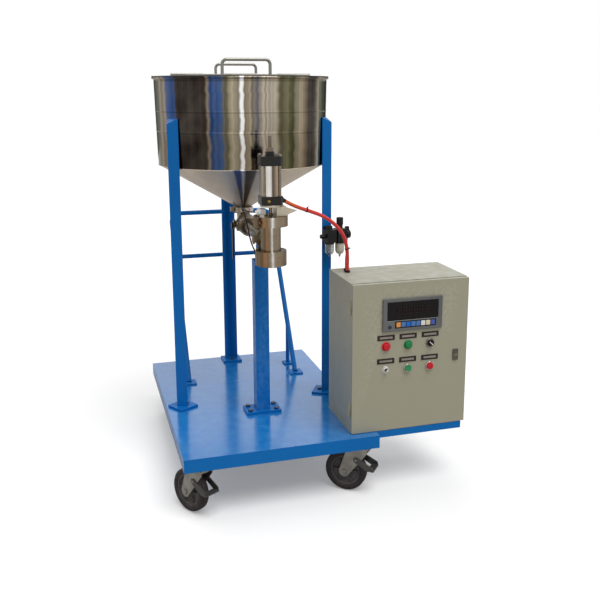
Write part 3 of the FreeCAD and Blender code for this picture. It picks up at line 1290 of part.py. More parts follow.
def build_door():
    outer = block("door_outer", "box_width", "door_depth", "box_height - 2 * door_trim",
                  spot(S.box_x, DOOR_FRONT, S.door_trim))
    inner = block("door_inner", "box_width - 2 * box_sheet", "door_depth - box_sheet",
                  "box_height - 2 * door_trim - 2 * box_sheet",
                  spot(S.box_x + S.box_sheet, DOOR_FRONT + S.box_sheet, S.door_trim + S.box_sheet))
    tools = [inner]
    for name in CONTROLS:
        tools.append(rod(f"door_hole_{name}", "switch_body + seat_gap", "box_sheet", control_spot(name), ALONG_Y))
    tools.append(block("door_display_hole", "display_width - 2 * bezel_rim + 2 * seat_gap", "box_sheet",
                       "display_height - 2 * bezel_rim + 2 * seat_gap",
                       door_spot(S.display_x + S.bezel_rim - S.seat_gap, S.display_z + S.bezel_rim - S.seat_gap)))
    tools.append(rod("door_lock_hole", "lock_core + seat_gap", "box_sheet", door_spot(S.lock_x, S.lock_z), ALONG_Y))
    pan = cut("door_pan", outer, *tools)
    pieces = [pan]
    half = S.hinge_length / 2
    for n, z in enumerate((S.hinge_drop, S.box_height - S.hinge_drop - S.hinge_length)):
        barrel = rod(f"door_barrel_{n}", "hinge_barrel", "hinge_length / 2", spot(HINGE_X, DOOR_BACK, z + half))
        web = block(f"door_web_{n}", "hinge_barrel + seat_gap + 0.5", "hinge_barrel", "hinge_length / 2",
                    spot(HINGE_X, DOOR_BACK - S.hinge_barrel, z + half))
        core = rod(f"door_core_{n}", "hinge_core + run_gap", "hinge_length / 2", spot(HINGE_X, DOOR_BACK, z + half))
        pieces.append(cut(f"door_hinge_{n}", joined(f"door_knuckle_{n}", barrel, web), core))
    keep("box_door", joined("box_door", *pieces))


def build_display():
    """Weighing display: a bezel with its case behind the door, and the window in it."""
    rim = block("bezel_rim_block", "display_width", "bezel_proud", "display_height",
                door_spot(S.display_x, S.display_z, S.bezel_proud))
    case = block("bezel_case", "display_width - 2 * bezel_rim", "meter_depth", "display_height - 2 * bezel_rim",
                 door_spot(S.display_x + S.bezel_rim, S.display_z + S.bezel_rim))
    recess_x = S.display_x + (S.display_width - S.window_width) / 2
    recess_z = S.display_z + S.window_rise
    recess = block("bezel_recess", "window_width", "bezel_proud / 2", "window_height",
                   door_spot(recess_x, recess_z, S.bezel_proud))
    keep("display_bezel", cut("display_bezel", joined("bezel_whole", rim, case), recess))
    window = block("display_window", "window_width - 2 * seat_gap", "bezel_proud / 2 - 1", "window_height - 2 * seat_gap",
                   door_spot(recess_x + S.seat_gap, recess_z + S.seat_gap, S.bezel_proud - 1))
    keep("display_window", window)


def build_name_plates():
    """Bare label plates above each control."""
    labels = []
    for name in CONTROLS:
        place = control_spot(name, S.label_thick) + Vector(-S.label_width / 2, 0, S.label_rise - S.label_height / 2)
        labels.append(block(f"label_{name}", "label_width", "label_thick", "label_height", place))
    keep("label_plates", group("label_plates", labels))


def build_switches():
    """Bezels with their bodies behind the door, the buttons, the selector, the toggle and the lock."""
    bezels = []
    for name in CONTROLS:
        flange = rod(f"bezel_ring_{name}", "bezel_radius", "bezel_depth", control_spot(name, S.bezel_depth), ALONG_Y)
        barrel = rod(f"bezel_body_{name}", "switch_body", "switch_depth", control_spot(name), ALONG_Y)
        well = rod(f"bezel_well_{name}", "button_radius + seat_gap", "bezel_depth",
                   control_spot(name, S.bezel_depth), ALONG_Y)
        hole = "toggle_ball" if name == "toggle" else "button_shaft"
        bore = rod(f"bezel_bore_{name}", f"{hole} + run_gap", "switch_depth - 4", control_spot(name, 1.0), ALONG_Y)
        rim_only = cut(f"bezel_rim_{name}", flange, well)
        floor = rod(f"bezel_floor_{name}", "bezel_radius", "1", control_spot(name, 1.0), ALONG_Y)
        bezels.append(cut(f"bezel_{name}", joined(f"bezel_all_{name}", rim_only, floor, barrel), bore))
    keep("switch_bezels", group("switch_bezels", bezels))
    for name in ("stop", "start", "fill", "reset"):
        cap = rod(f"cap_{name}", "button_radius", "button_proud",
                  control_spot(name, 1.0 + S.button_travel + S.seat_gap + S.button_proud), ALONG_Y)
        shaft = rod(f"shaft_{name}", "button_shaft", "16", control_spot(name, 1.0 + S.button_travel + S.seat_gap),
                    ALONG_Y)
        keep(f"{name}_button", joined(f"{name}_button", cap, shaft))
    base = rod("selector_base", "selector_radius", "4", control_spot("selector", 1.3 + 4), ALONG_Y)
    grip = block("selector_grip", "selector_radius * 0.6", "selector_height", "selector_radius * 1.9",
                 control_spot("selector", 1.3 + 4 + S.selector_height)
                 + Vector(-0.3 * S.selector_radius, 0, -0.95 * S.selector_radius))
    spindle = rod("selector_spindle", "button_shaft", "14", control_spot("selector", 1.3), ALONG_Y)
    keep("selector_knob", joined("selector_knob", base, grip, spindle))
    stem = rod("toggle_stem", "toggle_radius", "toggle_length + 4", control_spot("toggle", S.toggle_length), ALONG_Y)
    bulb = DOC.addObject("Part::Sphere", "toggle_bulb")
    bind(bulb, Radius="toggle_ball * 0.7")
    bulb.Placement = Placement(control_spot("toggle", S.toggle_length), UPRIGHT)
    ball = DOC.addObject("Part::Sphere", "toggle_pivot_ball")
    bind(ball, Radius="toggle_ball")
    ball.Placement = Placement(control_spot("toggle", -3.0), UPRIGHT)
    keep("toggle_lever", joined("toggle_lever", stem, bulb, ball))
    shield = block("lock_shield", "lock_width", "lock_proud", "lock_height",
                   door_spot(S.lock_x - S.lock_width / 2, S.lock_z - S.lock_height / 2, S.lock_proud))
    eye = rod("lock_eye", "lock_core + run_gap", "lock_proud", door_spot(S.lock_x, S.lock_z, S.lock_proud), ALONG_Y)
    keep("lock_plate", cut("lock_plate", shield, eye))
    core = rod("lock_core_rod", "lock_core", "lock_proud + 1 + 14", door_spot(S.lock_x, S.lock_z, S.lock_proud + 1),
               ALONG_Y)
    cam = block("lock_cam", "9", "3", "cam_length + lock_core",
                door_spot(S.lock_x - 4.5, S.lock_z - S.cam_length, -12.0))
    slot = block("lock_slot", "2", "2", "lock_core * 1.6",
                 door_spot(S.lock_x - 1, S.lock_z - 0.8 * S.lock_core, S.lock_proud + 1))
    keep("door_lock", cut("door_lock", joined("lock_rotor", core, cam), slot))


def build_panel():
    """Mounting panel with the power supply, terminals, relays and the air valve block."""
    inset = S.panel_inset
    back = S.box_y + S.box_depth - S.box_sheet
    sheet = block("panel_sheet", "box_width - 2 * panel_inset", "panel_thick", "box_height - 2 * panel_inset",
                  spot(S.box_x + inset, back - S.panel_standoff - S.panel_thick, inset))
    posts = []
    for side in (0, 1):
        for level in (0, 1):
            x = S.box_x + inset + 12 + side * (S.box_width - 2 * inset - 24)
            z = inset + 12 + level * (S.box_height - 2 * inset - 24)
            posts.append(rod(f"panel_post_{side}{level}", "5", "panel_standoff - seat_gap",
                             spot(x, back - S.panel_standoff, z), ALONG_Y))
    parts = [joined("mounting_panel", sheet, *posts)]
    face = back - S.panel_standoff - S.panel_thick
    for name, x, z, width, depth, height in (
            ("power_supply", 55.0, 330.0, 110.0, 60.0, 130.0),
            ("relay_row", 190.0, 350.0, 150.0, 45.0, 80.0),
            ("terminal_row", 60.0, 70.0, 280.0, 40.0, 45.0),
            ("air_valve_block", 70.0, 170.0, 90.0, 50.0, 110.0),
            ("breaker", 220.0, 190.0, 54.0, 65.0, 85.0)):
        item = DOC.addObject("Part::Box", name)
        item.Length, item.Width, item.Height = width, depth, height
        item.Placement = Placement(spot(S.box_x + x, face - depth, z), UPRIGHT)
        parts.append(item)
    keep("control_gear", group("control_gear", parts))


# Hoses and cable, each on a route whose points are chosen by hand, from the deck corner


# Each point is x and y from the deck's corner and the rise above where the line starts.
AIR_HOSE_ROUTE = [
    (446.0, 173.0, -33.0),
    (484.0, 177.0, -46.5),
    (522.0, 183.0, -61.5),
    (558.0, 190.0, -83.0),
    (588.0, 197.0, -109.5),
    (611.0, 204.0, -140.0),
    (624.0, 211.0, -175.0),
    (630.5, 217.5, -212.0),
]
# Each point of the tube is the way along its plan from its nearer end and the height away from that end.
SUPPLY_TUBE_ROUTE = [
    (0.0, 19.0),
    (9.5, 34.5),
    (26.0, 43.0),
    (60.0, 44.0),
]
CABLE_ROUTE = [
    (268.0, 170.0, 0.0),
    (251.0, 180.0, 7.0),
    (243.0, 200.0, 15.0),
    (247.0, 224.0, 16.0),
    (259.0, 246.0, 2.0),
    (273.0, 266.0, -28.0),
    (285.0, 284.0, -66.0),
    (295.0, 299.0, -108.0),
    (306.0, 311.0, -142.0),
]


def build_hoses():
    """Air hose from the cylinder to the box, supply tube from the air unit, and the sensor's cable."""
    start = spot(HOSE_START.x, HOSE_START.y, HOSE_START.z)
    route = [start, start + Vector(math.cos(HOSE_SLOPE), 0, -math.sin(HOSE_SLOPE)) * 26]
    route += [spot(x, y, FITTING_Z + rise) for x, y, rise in AIR_HOSE_ROUTE]
    route += [spot(HOSE_END_X, HOSE_END_Y, S.box_height + 30), spot(HOSE_END_X, HOSE_END_Y, S.box_height)]
    keep("air_hose", swept("air_hose", route, S.hose_radius, None, "air_hose"))
    pitch = (S.module_side + S.module_spacing) / 2
    port = unit_place().multVec(Vector(S.unit_shift + pitch + S.module_side / 2 + 5 + S.coupling_length / 2,
                                       -S.unit_reach, -S.coupling_radius))
    end = spot(TUBE_END_X, TUBE_END_Y, S.box_height)
    flat = Vector(end.x - port.x, end.y - port.y, 0).normalize()
    route = [port] + [port + flat * along - Vector(0, 0, drop) for along, drop in SUPPLY_TUBE_ROUTE]
    route += [end - flat * along + Vector(0, 0, rise - 1) for along, rise in reversed(SUPPLY_TUBE_ROUTE)] + [end]
    keep("supply_tube", swept("supply_tube", route, S.tube_radius, None, "supply_tube"))
    entry = spot(S.hopper_x + CABLE_ENTRY.x, S.post_y + CABLE_ENTRY.y, S.post_top)
    route = [spot(CABLE_START_X, S.head_y, SENSOR_Z)]
    route += [spot(x, y, SENSOR_Z + rise) for x, y, rise in CABLE_ROUTE]
    route += [entry + Vector(-3, -3, 34), entry]
    keep("sensor_cable", swept("sensor_cable", route, S.cable_radius, None, "sensor_cable"))


def check_and_export():
    DOC.recompute()
    failed = [item.Name for item in DOC.Objects if "Invalid" in item.State or "Error" in item.State]
    if failed:
        raise RuntimeError(f"objects that failed: {failed}")
    os.makedirs("parts", exist_ok=True)
    whole = FreeCAD.BoundBox()
    for label, item in NODES.items():
        shape = item.Shape
        if shape.isNull() or not shape.isValid() or not shape.Solids:
            raise RuntimeError(f"bad shape: {label}")
        whole.add(shape.BoundBox)
        shape.exportStep(f"parts/{label}.step")
    print(len(NODES), "nodes, box", whole)


def main():
    build_deck()
    build_under_frame()
    build_bolts()
    keep("castor_plates", group("castor_plates", [build_castor_plate(name) for name in CASTOR_PLACES]))
    for name in CASTOR_PLACES:
        build_fork(name)
        build_wheel(name)
        if name.startswith("front"):
            build_pedal(name)
    for label, angle in FOOT_ANGLES.items():
        build_leg(label, angle)
    build_valve_post()
    build_push_handle()
    build_hopper()
    build_lid()
    build_feed_pipes()
    build_stop_valve()
    build_filling_body()
    build_clamps()
    build_yoke()
    build_cylinder()
    build_plunger()
    build_sensor()
    build_fittings()
    build_air_unit()
    build_box_body()
    build_door()
    build_display()
    build_name_plates()
    build_switches()
    build_panel()
    build_hoses()
    check_and_export()


main()
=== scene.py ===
"""Mobile oil filling machine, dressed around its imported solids.

Places on the machine are written in millimetres from the deck's front left corner at the
height of its top face, as the drawing has them, and turned to metres by spot().
"""

import json
import logging
import math
from dataclasses import dataclass, field
from enum import Enum
from functools import cached_property

import bmesh
import bpy
import numpy as np
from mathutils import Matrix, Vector

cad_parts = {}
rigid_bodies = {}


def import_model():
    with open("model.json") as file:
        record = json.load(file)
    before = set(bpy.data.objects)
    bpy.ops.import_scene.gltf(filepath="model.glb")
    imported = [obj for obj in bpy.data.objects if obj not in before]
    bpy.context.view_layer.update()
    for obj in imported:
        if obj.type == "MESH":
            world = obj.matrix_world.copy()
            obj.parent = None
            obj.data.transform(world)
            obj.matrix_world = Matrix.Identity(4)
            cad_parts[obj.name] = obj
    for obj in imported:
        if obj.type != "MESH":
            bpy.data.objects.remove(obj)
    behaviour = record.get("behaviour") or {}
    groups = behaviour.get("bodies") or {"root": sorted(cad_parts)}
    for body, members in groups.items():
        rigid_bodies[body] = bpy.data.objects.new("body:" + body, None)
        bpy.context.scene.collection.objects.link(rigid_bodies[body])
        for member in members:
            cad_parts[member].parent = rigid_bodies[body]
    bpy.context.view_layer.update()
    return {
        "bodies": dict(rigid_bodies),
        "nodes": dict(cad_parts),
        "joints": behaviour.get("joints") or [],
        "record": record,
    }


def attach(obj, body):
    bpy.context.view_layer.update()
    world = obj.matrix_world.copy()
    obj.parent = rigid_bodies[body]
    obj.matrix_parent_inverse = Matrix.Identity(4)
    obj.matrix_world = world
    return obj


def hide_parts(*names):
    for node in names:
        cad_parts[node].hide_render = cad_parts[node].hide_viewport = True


LOG = logging.getLogger("filling_machine")
Surface = tuple[np.ndarray, np.ndarray]
Colour = tuple[int, int, int]
DECK_CORNER = np.array([498.2, 554.8, -220.0])
TURN = 2.0 * math.pi
FRONT = {"x": (1.0, 0.0, 0.0), "z": (0.0, -1.0, 0.0)}
GREY = (0.5, 0.5, 0.5, 1.0)
SHARP_EDGE = 35.0
EDGE_STEPS = 5
CORNER_STEPS = 6
BEAD_STEP, BEAD_PITCH, BEAD_SWELL = 0.0012, 0.0052, 0.2


class Slot(Enum):
    """The record's material slots."""

    BLUE = "blue_enamel"
    CABINET = "cabinet_paint"
    DARK = "dark_paint"
    BRUSHED = "brushed_stainless"
    POLISHED = "polished_stainless"
    ZINC = "zinc"
    ANODISED = "anodised"
    BLACK_METAL = "black_anodised"
    HOSE = "red_rubber"
    RUBBER = "grey_rubber"
    BLACK = "black_plastic"
    WHITE = "white_plastic"
    GREY = "grey_plastic"
    VIOLET = "violet_plastic"
    RED = "red_plastic"
    GREEN = "green_plastic"
    BOWL = "clear_bowl"
    WINDOW = "display_glass"


# Places and surfaces


def spot(x: float, y: float, z: float = 0.0) -> np.ndarray:
    """Point in metres for a place in millimetres from the deck's front left corner."""
    return (np.array([x, y, z], float) - DECK_CORNER) / 1000.0


def unit(vector: np.ndarray) -> np.ndarray:
    """The vectors made one long."""
    return vector / np.linalg.norm(vector, axis=-1, keepdims=True)


@dataclass(frozen=True)
class Place:
    """A local frame: where it stands in metres, and the directions of its X and Z."""

    origin: tuple[float, ...]
    x: tuple[float, ...] = (1.0, 0.0, 0.0)
    z: tuple[float, ...] = (0.0, 0.0, 1.0)

    def put(self, surface: Surface) -> Surface:
        """Carry a surface from this frame into the machine's.

        Args:
            surface: points in metres in this frame, and faces.

        Returns:
            The same surface with its points in the machine's frame.
        """
        z = unit(np.array(self.z, float))
        x = np.array(self.x, float)
        x = unit(x - (x @ z) * z)
        turn = np.stack([x, np.cross(z, x), z])
        return surface[0] @ turn + np.array(self.origin, float), surface[1]


def at(right: float, back: float, up: float, **axes: tuple[float, ...]) -> Place:
    """Frame at a place given in millimetres from the deck's corner."""
    return Place(tuple(spot(right, back, up)), **axes)


def grid_faces(rows: int, columns: int, ring_rows: bool, ring_columns: bool) -> np.ndarray:
    """Quads of a grid whose point (i, j) has number i * columns + j.

    Args:
        rows: how many rows of points.
        columns: how many points in each row.
        ring_rows: whether the last row joins the first.
        ring_columns: whether each row closes on itself.

    Returns:
        An array of four point numbers for each face.
    """
    counts = np.arange(rows - (not ring_rows)), np.arange(columns - (not ring_columns))
    i, j = np.meshgrid(*counts, indexing="ij")
    down, right = (i + 1) % rows, (j + 1) % columns
    quads = [i * columns + j, i * columns + right, down * columns + right, down * columns + j]
    return np.stack(quads, axis=-1).reshape(-1, 4)


def eased(corners: list[tuple[float, float]], radius: float, steps: int = 5, ring: bool = True) -> np.ndarray:
    """Outline with its corners rounded by arcs: each corner P becomes the curve
    (1 - t)^2 A + 2 t (1 - t) P + t^2 B between points A and B one radius away on its two sides.

    Args:
        corners: radius and height, or two plane coordinates, of each corner in millimetres.
        radius: how far from the corner the arc starts, at most 45 % of the side.
        steps: points on each arc.
        ring: whether the outline closes; an open one keeps its two ends.

    Returns:
        The outline's points in millimetres.
    """
    points = np.array(corners, float)
    before, after = np.roll(points, 1, 0) - points, np.roll(points, -1, 0) - points
    lengths = [np.linalg.norm(side, axis=1, keepdims=True) for side in (before, after)]
    cut = np.minimum(radius, 0.45 * np.minimum(*lengths))
    if not ring:
        cut[[0, -1]] = 0.0
    start, end = (points + side / length * cut for side, length in zip((before, after), lengths))
    t = np.linspace(0.0, 1.0, steps)[None, :, None]
    curve = (1 - t) ** 2 * start[:, None] + 2 * t * (1 - t) * points[:, None] + t**2 * end[:, None]
    return curve.reshape(-1, 2)


def lathe(profile: np.ndarray, segments: int = 64, ring: bool = True) -> Surface:
    """Turned surface: point(u, v) = (r(v) cos u, r(v) sin u, h(v)) along the profile (r, h).

    Args:
        profile: radius and height in millimetres; an open one starts and ends on the axis.
        segments: points around.
        ring: whether the profile closes on itself.

    Returns:
        The surface in metres about the local Z axis.
    """
    profile = np.asarray(profile, float) / 1000.0
    u = np.linspace(0.0, TURN, segments, endpoint=False)
    radius, height = profile[:, :1], profile[:, 1:]
    points = np.stack([radius * np.cos(u), radius * np.sin(u), height + 0 * u], axis=-1)
    return points.reshape(-1, 3), grid_faces(len(profile), segments, ring, True)


def slab(width: float, height: float, thick: float, corner: float, edge: float) -> Surface:
    """Plate with a rounded outline and eased front edge: each row is the outline of a rounded
    rectangle pulled in by edge * (1 - cos a) and raised by edge * sin a, from the back to the front.

    Args:
        width: size along local X in millimetres.
        height: size along local Y.
        thick: size along local Z, from 0 upwards.
        corner: radius of the outline's corners.
        edge: radius of the front edge.

    Returns:
        The closed surface in metres.
    """
    a = np.linspace(0.0, math.pi / 2, EDGE_STEPS)
    inset = np.concatenate([[0.0, 0.0], edge * (1 - np.cos(a)), [0.0]])
    level = np.concatenate([[0.0, 0.0], thick - edge + edge * np.sin(a), [thick]])
    keep = np.concatenate([[0.0], np.ones(EDGE_STEPS + 1), [0.0]])[:, None]
    half_w, half_h = keep * (width / 2 - inset[:, None]), keep * (height / 2 - inset[:, None])
    radius = keep * np.maximum(corner - inset[:, None], 0.05)
    quarter = np.linspace(0.0, math.pi / 2, CORNER_STEPS)
    turn = np.concatenate([quarter + k * math.pi / 2 for k in range(4)])
    sign_x = np.repeat([1.0, -1.0, -1.0, 1.0], CORNER_STEPS)
    sign_y = np.repeat([1.0, 1.0, -1.0, -1.0], CORNER_STEPS)
    x = sign_x * (half_w - radius) + radius * np.cos(turn)
    y = sign_y * (half_h - radius) + radius * np.sin(turn)
    z = level[:, None] + 0 * x
    points = np.stack([x, y, z], axis=-1) / 1000.0
    return points.reshape(-1, 3), grid_faces(len(level), len(turn), False, True)


def rope(path: np.ndarray, radius: np.ndarray | float, around: int = 10) -> Surface:
    """Round bar along a path: point(u, v) = P(v) + r(v) (cos u A(v) + sin u B(v)), where A and B
    are square to the path, closed by a pole at each end.

    Args:
        path: points in metres.
        radius: radius in metres at each point, or one for all.
        around: points in each ring.

    Returns:
        The closed surface in metres.
    """
    path = np.asarray(path, float)
    along = unit(np.gradient(path, axis=0))
    guide = np.where(np.abs(along[:, 2:]) > 0.9, [[1.0, 0.0, 0.0]], [[0.0, 0.0, 1.0]])
    side = unit(np.cross(along, guide))
    lift = np.cross(side, along)
    u = np.linspace(0.0, TURN, around, endpoint=False)
    radius = np.broadcast_to(np.asarray(radius, float), (len(path),))[:, None, None]
    ring = np.cos(u)[None, :, None] * side[:, None] + np.sin(u)[None, :, None] * lift[:, None]
    body = path[:, None] + radius * ring
    ends = [np.repeat(path[[k]], around, axis=0)[None] for k in (0, -1)]
    points = np.concatenate([ends[0], body, ends[1]])
    return points.reshape(-1, 3), grid_faces(len(points), around, False, True)


def bead(corners: list[tuple[float, float, float]], radius: float = 2.2) -> Surface:
    """Weld bead along straight runs: a bar whose radius swells by a fifth as sin of the way along.

    Args:
        corners: the runs' ends in millimetres from the deck's corner.
        radius: mean radius in millimetres.

    Returns:
        The bead in metres.
    """
    ends = np.array([spot(*c) for c in corners])
    runs = np.linalg.norm(np.diff(ends, axis=0), axis=1)
    way = np.concatenate([[0.0], np.cumsum(runs)])
    s = np.linspace(0.0, way[-1], max(8, int(way[-1] / BEAD_STEP)))
    path = np.stack([np.interp(s, way, ends[:, k]) for k in range(3)], axis=1)
    return rope(path, radius / 1000.0 * (1 + BEAD_SWELL * np.sin(s * TURN / BEAD_PITCH)), 8)


def hoop(radius: float, thick: float, segments: int = 64) -> Surface:
    """Ring of round section about the local Z axis, sizes in millimetres."""
    a = np.linspace(0.0, TURN, 12, endpoint=False)
    return lathe(np.stack([radius + thick * np.cos(a), thick * np.sin(a)], axis=1), segments)


def turned(corners: list[tuple[float, float]], radius: float, steps: int = 5, segments: int = 64,
           ring: bool = True) -> Surface:
    """Turned surface of an outline in millimetres whose corners are rounded."""
    return lathe(eased(corners, radius, steps, ring), segments, ring)


def plug(corners: list[tuple[float, float]], radius: float, steps: int, segments: int) -> Surface:
    """Turned solid whose outline starts and ends on its axis."""
    return turned(corners, radius, steps, segments, ring=False)


def together(surfaces: list[Surface]) -> Surface:
    """Several surfaces as one, their face numbers moved on."""
    starts = np.cumsum([0] + [len(points) for points, _ in surfaces[:-1]])
    return (np.concatenate([points for points, _ in surfaces]),
            np.concatenate([faces + start for (_, faces), start in zip(surfaces, starts)]))


# Finishes


def linear(colour: Colour) -> tuple[float, float, float, float]:
    """A screen colour of 0 to 255 as the scene-linear colour that a shader takes."""
    share = np.array(colour, float) / 255.0
    value = np.where(share <= 0.04045, share / 12.92, ((share + 0.055) / 1.055) ** 2.4)
    return (*value.tolist(), 1.0)


class Effects:
    """Shader node groups that several finishes share, each built on first use."""

    @staticmethod
    def group(name: str, inputs: dict[str, object], outputs: dict[str, str]) -> "Net":
        """Empty group with named sockets, ready to be filled.

        Args:
            name: the group's name.
            inputs: each input's name and default; a tuple makes a colour, a number a value.
            outputs: each output's name and kind: Color, Float or Vector.

        Returns:
            The net of the group, with its input and output nodes.
        """
        tree = bpy.data.node_groups.new(name, "ShaderNodeTree")
        for label, value in inputs.items():
            kind = "NodeSocketColor" if isinstance(value, tuple) else "NodeSocketFloat"
            tree.interface.new_socket(label, in_out="INPUT", socket_type=kind).default_value = value
        for label, kind in outputs.items():
            tree.interface.new_socket(label, in_out="OUTPUT", socket_type=f"NodeSocket{kind}")
        tree.nodes.new("NodeGroupInput")
        tree.nodes.new("NodeGroupOutput")
        return Net(tree)

    @cached_property
    def clouds(self) -> bpy.types.NodeTree:
        """Colour that drifts between two tones in soft clouds on object coordinates."""
        net = self.group("Drifting tone", {"Tone": GREY, "Other tone": GREY, "Scale": 6.0, "Amount": 0.5},
                         {"Colour": "Color"})
        cloud = net.noise(net.coordinates(), (net.input, "Scale"), detail=4.0)
        share = net.sum("MULTIPLY", net.span(cloud, 0.35, 0.65), (net.input, "Amount"))
        net.join(net.mix((net.input, "Tone"), (net.input, "Other tone"), share), (net.output, "Colour"))
        return net.tree

    @cached_property
    def edges(self) -> bpy.types.NodeTree:
        """Colour worn through at outer edges, where the surface is pointed and a fine noise lets it."""
        net = self.group("Rubbed edges", {"Colour": GREY, "Bare": GREY, "Amount": 0.4}, {"Colour": "Color"})
        sharp = net.span((net.node("ShaderNodeNewGeometry"), "Pointiness"), 0.585, 0.68)
        rough = net.span(net.noise(net.coordinates(), 90.0, detail=5.0), 0.42, 0.62)
        share = net.sum("MULTIPLY", net.sum("MULTIPLY", sharp, rough), (net.input, "Amount"))
        net.join(net.mix((net.input, "Colour"), (net.input, "Bare"), share), (net.output, "Colour"))
        return net.tree

    @cached_property
    def dust(self) -> bpy.types.NodeTree:
        """Colour under dust that lies on faces that look up, thicker in patches; with the cabinet's
        near-white colour and the deck's cyan one it is painted light instead, a painted lighter top and a
        painted sky sheen.
        """
        net = self.group("Settled dust", {"Colour": GREY, "Dust": GREY, "Amount": 0.2},
                         {"Colour": "Color", "Mask": "Float", "Up": "Float"})
        normal = net.node("ShaderNodeSeparateXYZ")
        net.join((net.node("ShaderNodeNewGeometry"), "Normal"), (normal, "Vector"))
        up = net.span((normal, "Z"), 0.1, 1.0)
        net.join(up, (net.output, "Up"))
        patch = net.span(net.noise(net.coordinates(), 28.0, detail=6.0), 0.3, 0.7)
        share = net.sum("MULTIPLY", net.sum("MULTIPLY", up, patch), (net.input, "Amount"))
        net.join(share, (net.output, "Mask"))
        net.join(net.mix((net.input, "Colour"), (net.input, "Dust"), share), (net.output, "Colour"))
        return net.tree

    @cached_property
    def relief(self) -> bpy.types.NodeTree:
        """Normal of a fine even relief, such as sprayed enamel or moulded plastic."""
        net = self.group("Fine relief", {"Scale": 300.0, "Strength": 0.1, "Depth": 0.0004},
                         {"Normal": "Vector"})
        height = net.noise(net.coordinates(), (net.input, "Scale"), detail=3.0)
        bump = net.bump(height, (net.input, "Strength"), (net.input, "Depth"))
        net.join((bump, "Normal"), (net.output, "Normal"))
        return net.tree

    @cached_property
    def grain(self) -> bpy.types.NodeTree:
        """Drawn grain of worked metal: noise stretched by three counts per metre, as gloss and normal."""
        net = self.group("Drawn grain", {"Across X": 40.0, "Across Y": 40.0, "Across Z": 900.0, "Dull": 0.45,
                                         "Bright": 0.22, "Strength": 0.1},
                         {"Roughness": "Float", "Normal": "Vector"})
        stretch = net.node("ShaderNodeCombineXYZ")
        for axis in "XYZ":
            net.join((net.input, f"Across {axis}"), (stretch, axis))
        place = net.node("ShaderNodeVectorMath", operation="MULTIPLY")
        net.join(net.coordinates(), (place, 0))
        net.join((stretch, "Vector"), (place, 1))
        lines = net.noise((place, "Vector"), 1.0, detail=3.0)
        smear = net.noise(net.coordinates(), 9.0, detail=3.0)
        level = net.sum("ADD", net.sum("MULTIPLY", lines, 0.6), net.sum("MULTIPLY", smear, 0.4))
        gloss = net.span(level, 0.35, 0.65, (net.input, "Bright"), (net.input, "Dull"))
        net.join(gloss, (net.output, "Roughness"))
        bump = net.bump(lines, (net.input, "Strength"), 0.0003)
        net.join((bump, "Normal"), (net.output, "Normal"))
        return net.tree


Port = tuple[bpy.types.Node, object]


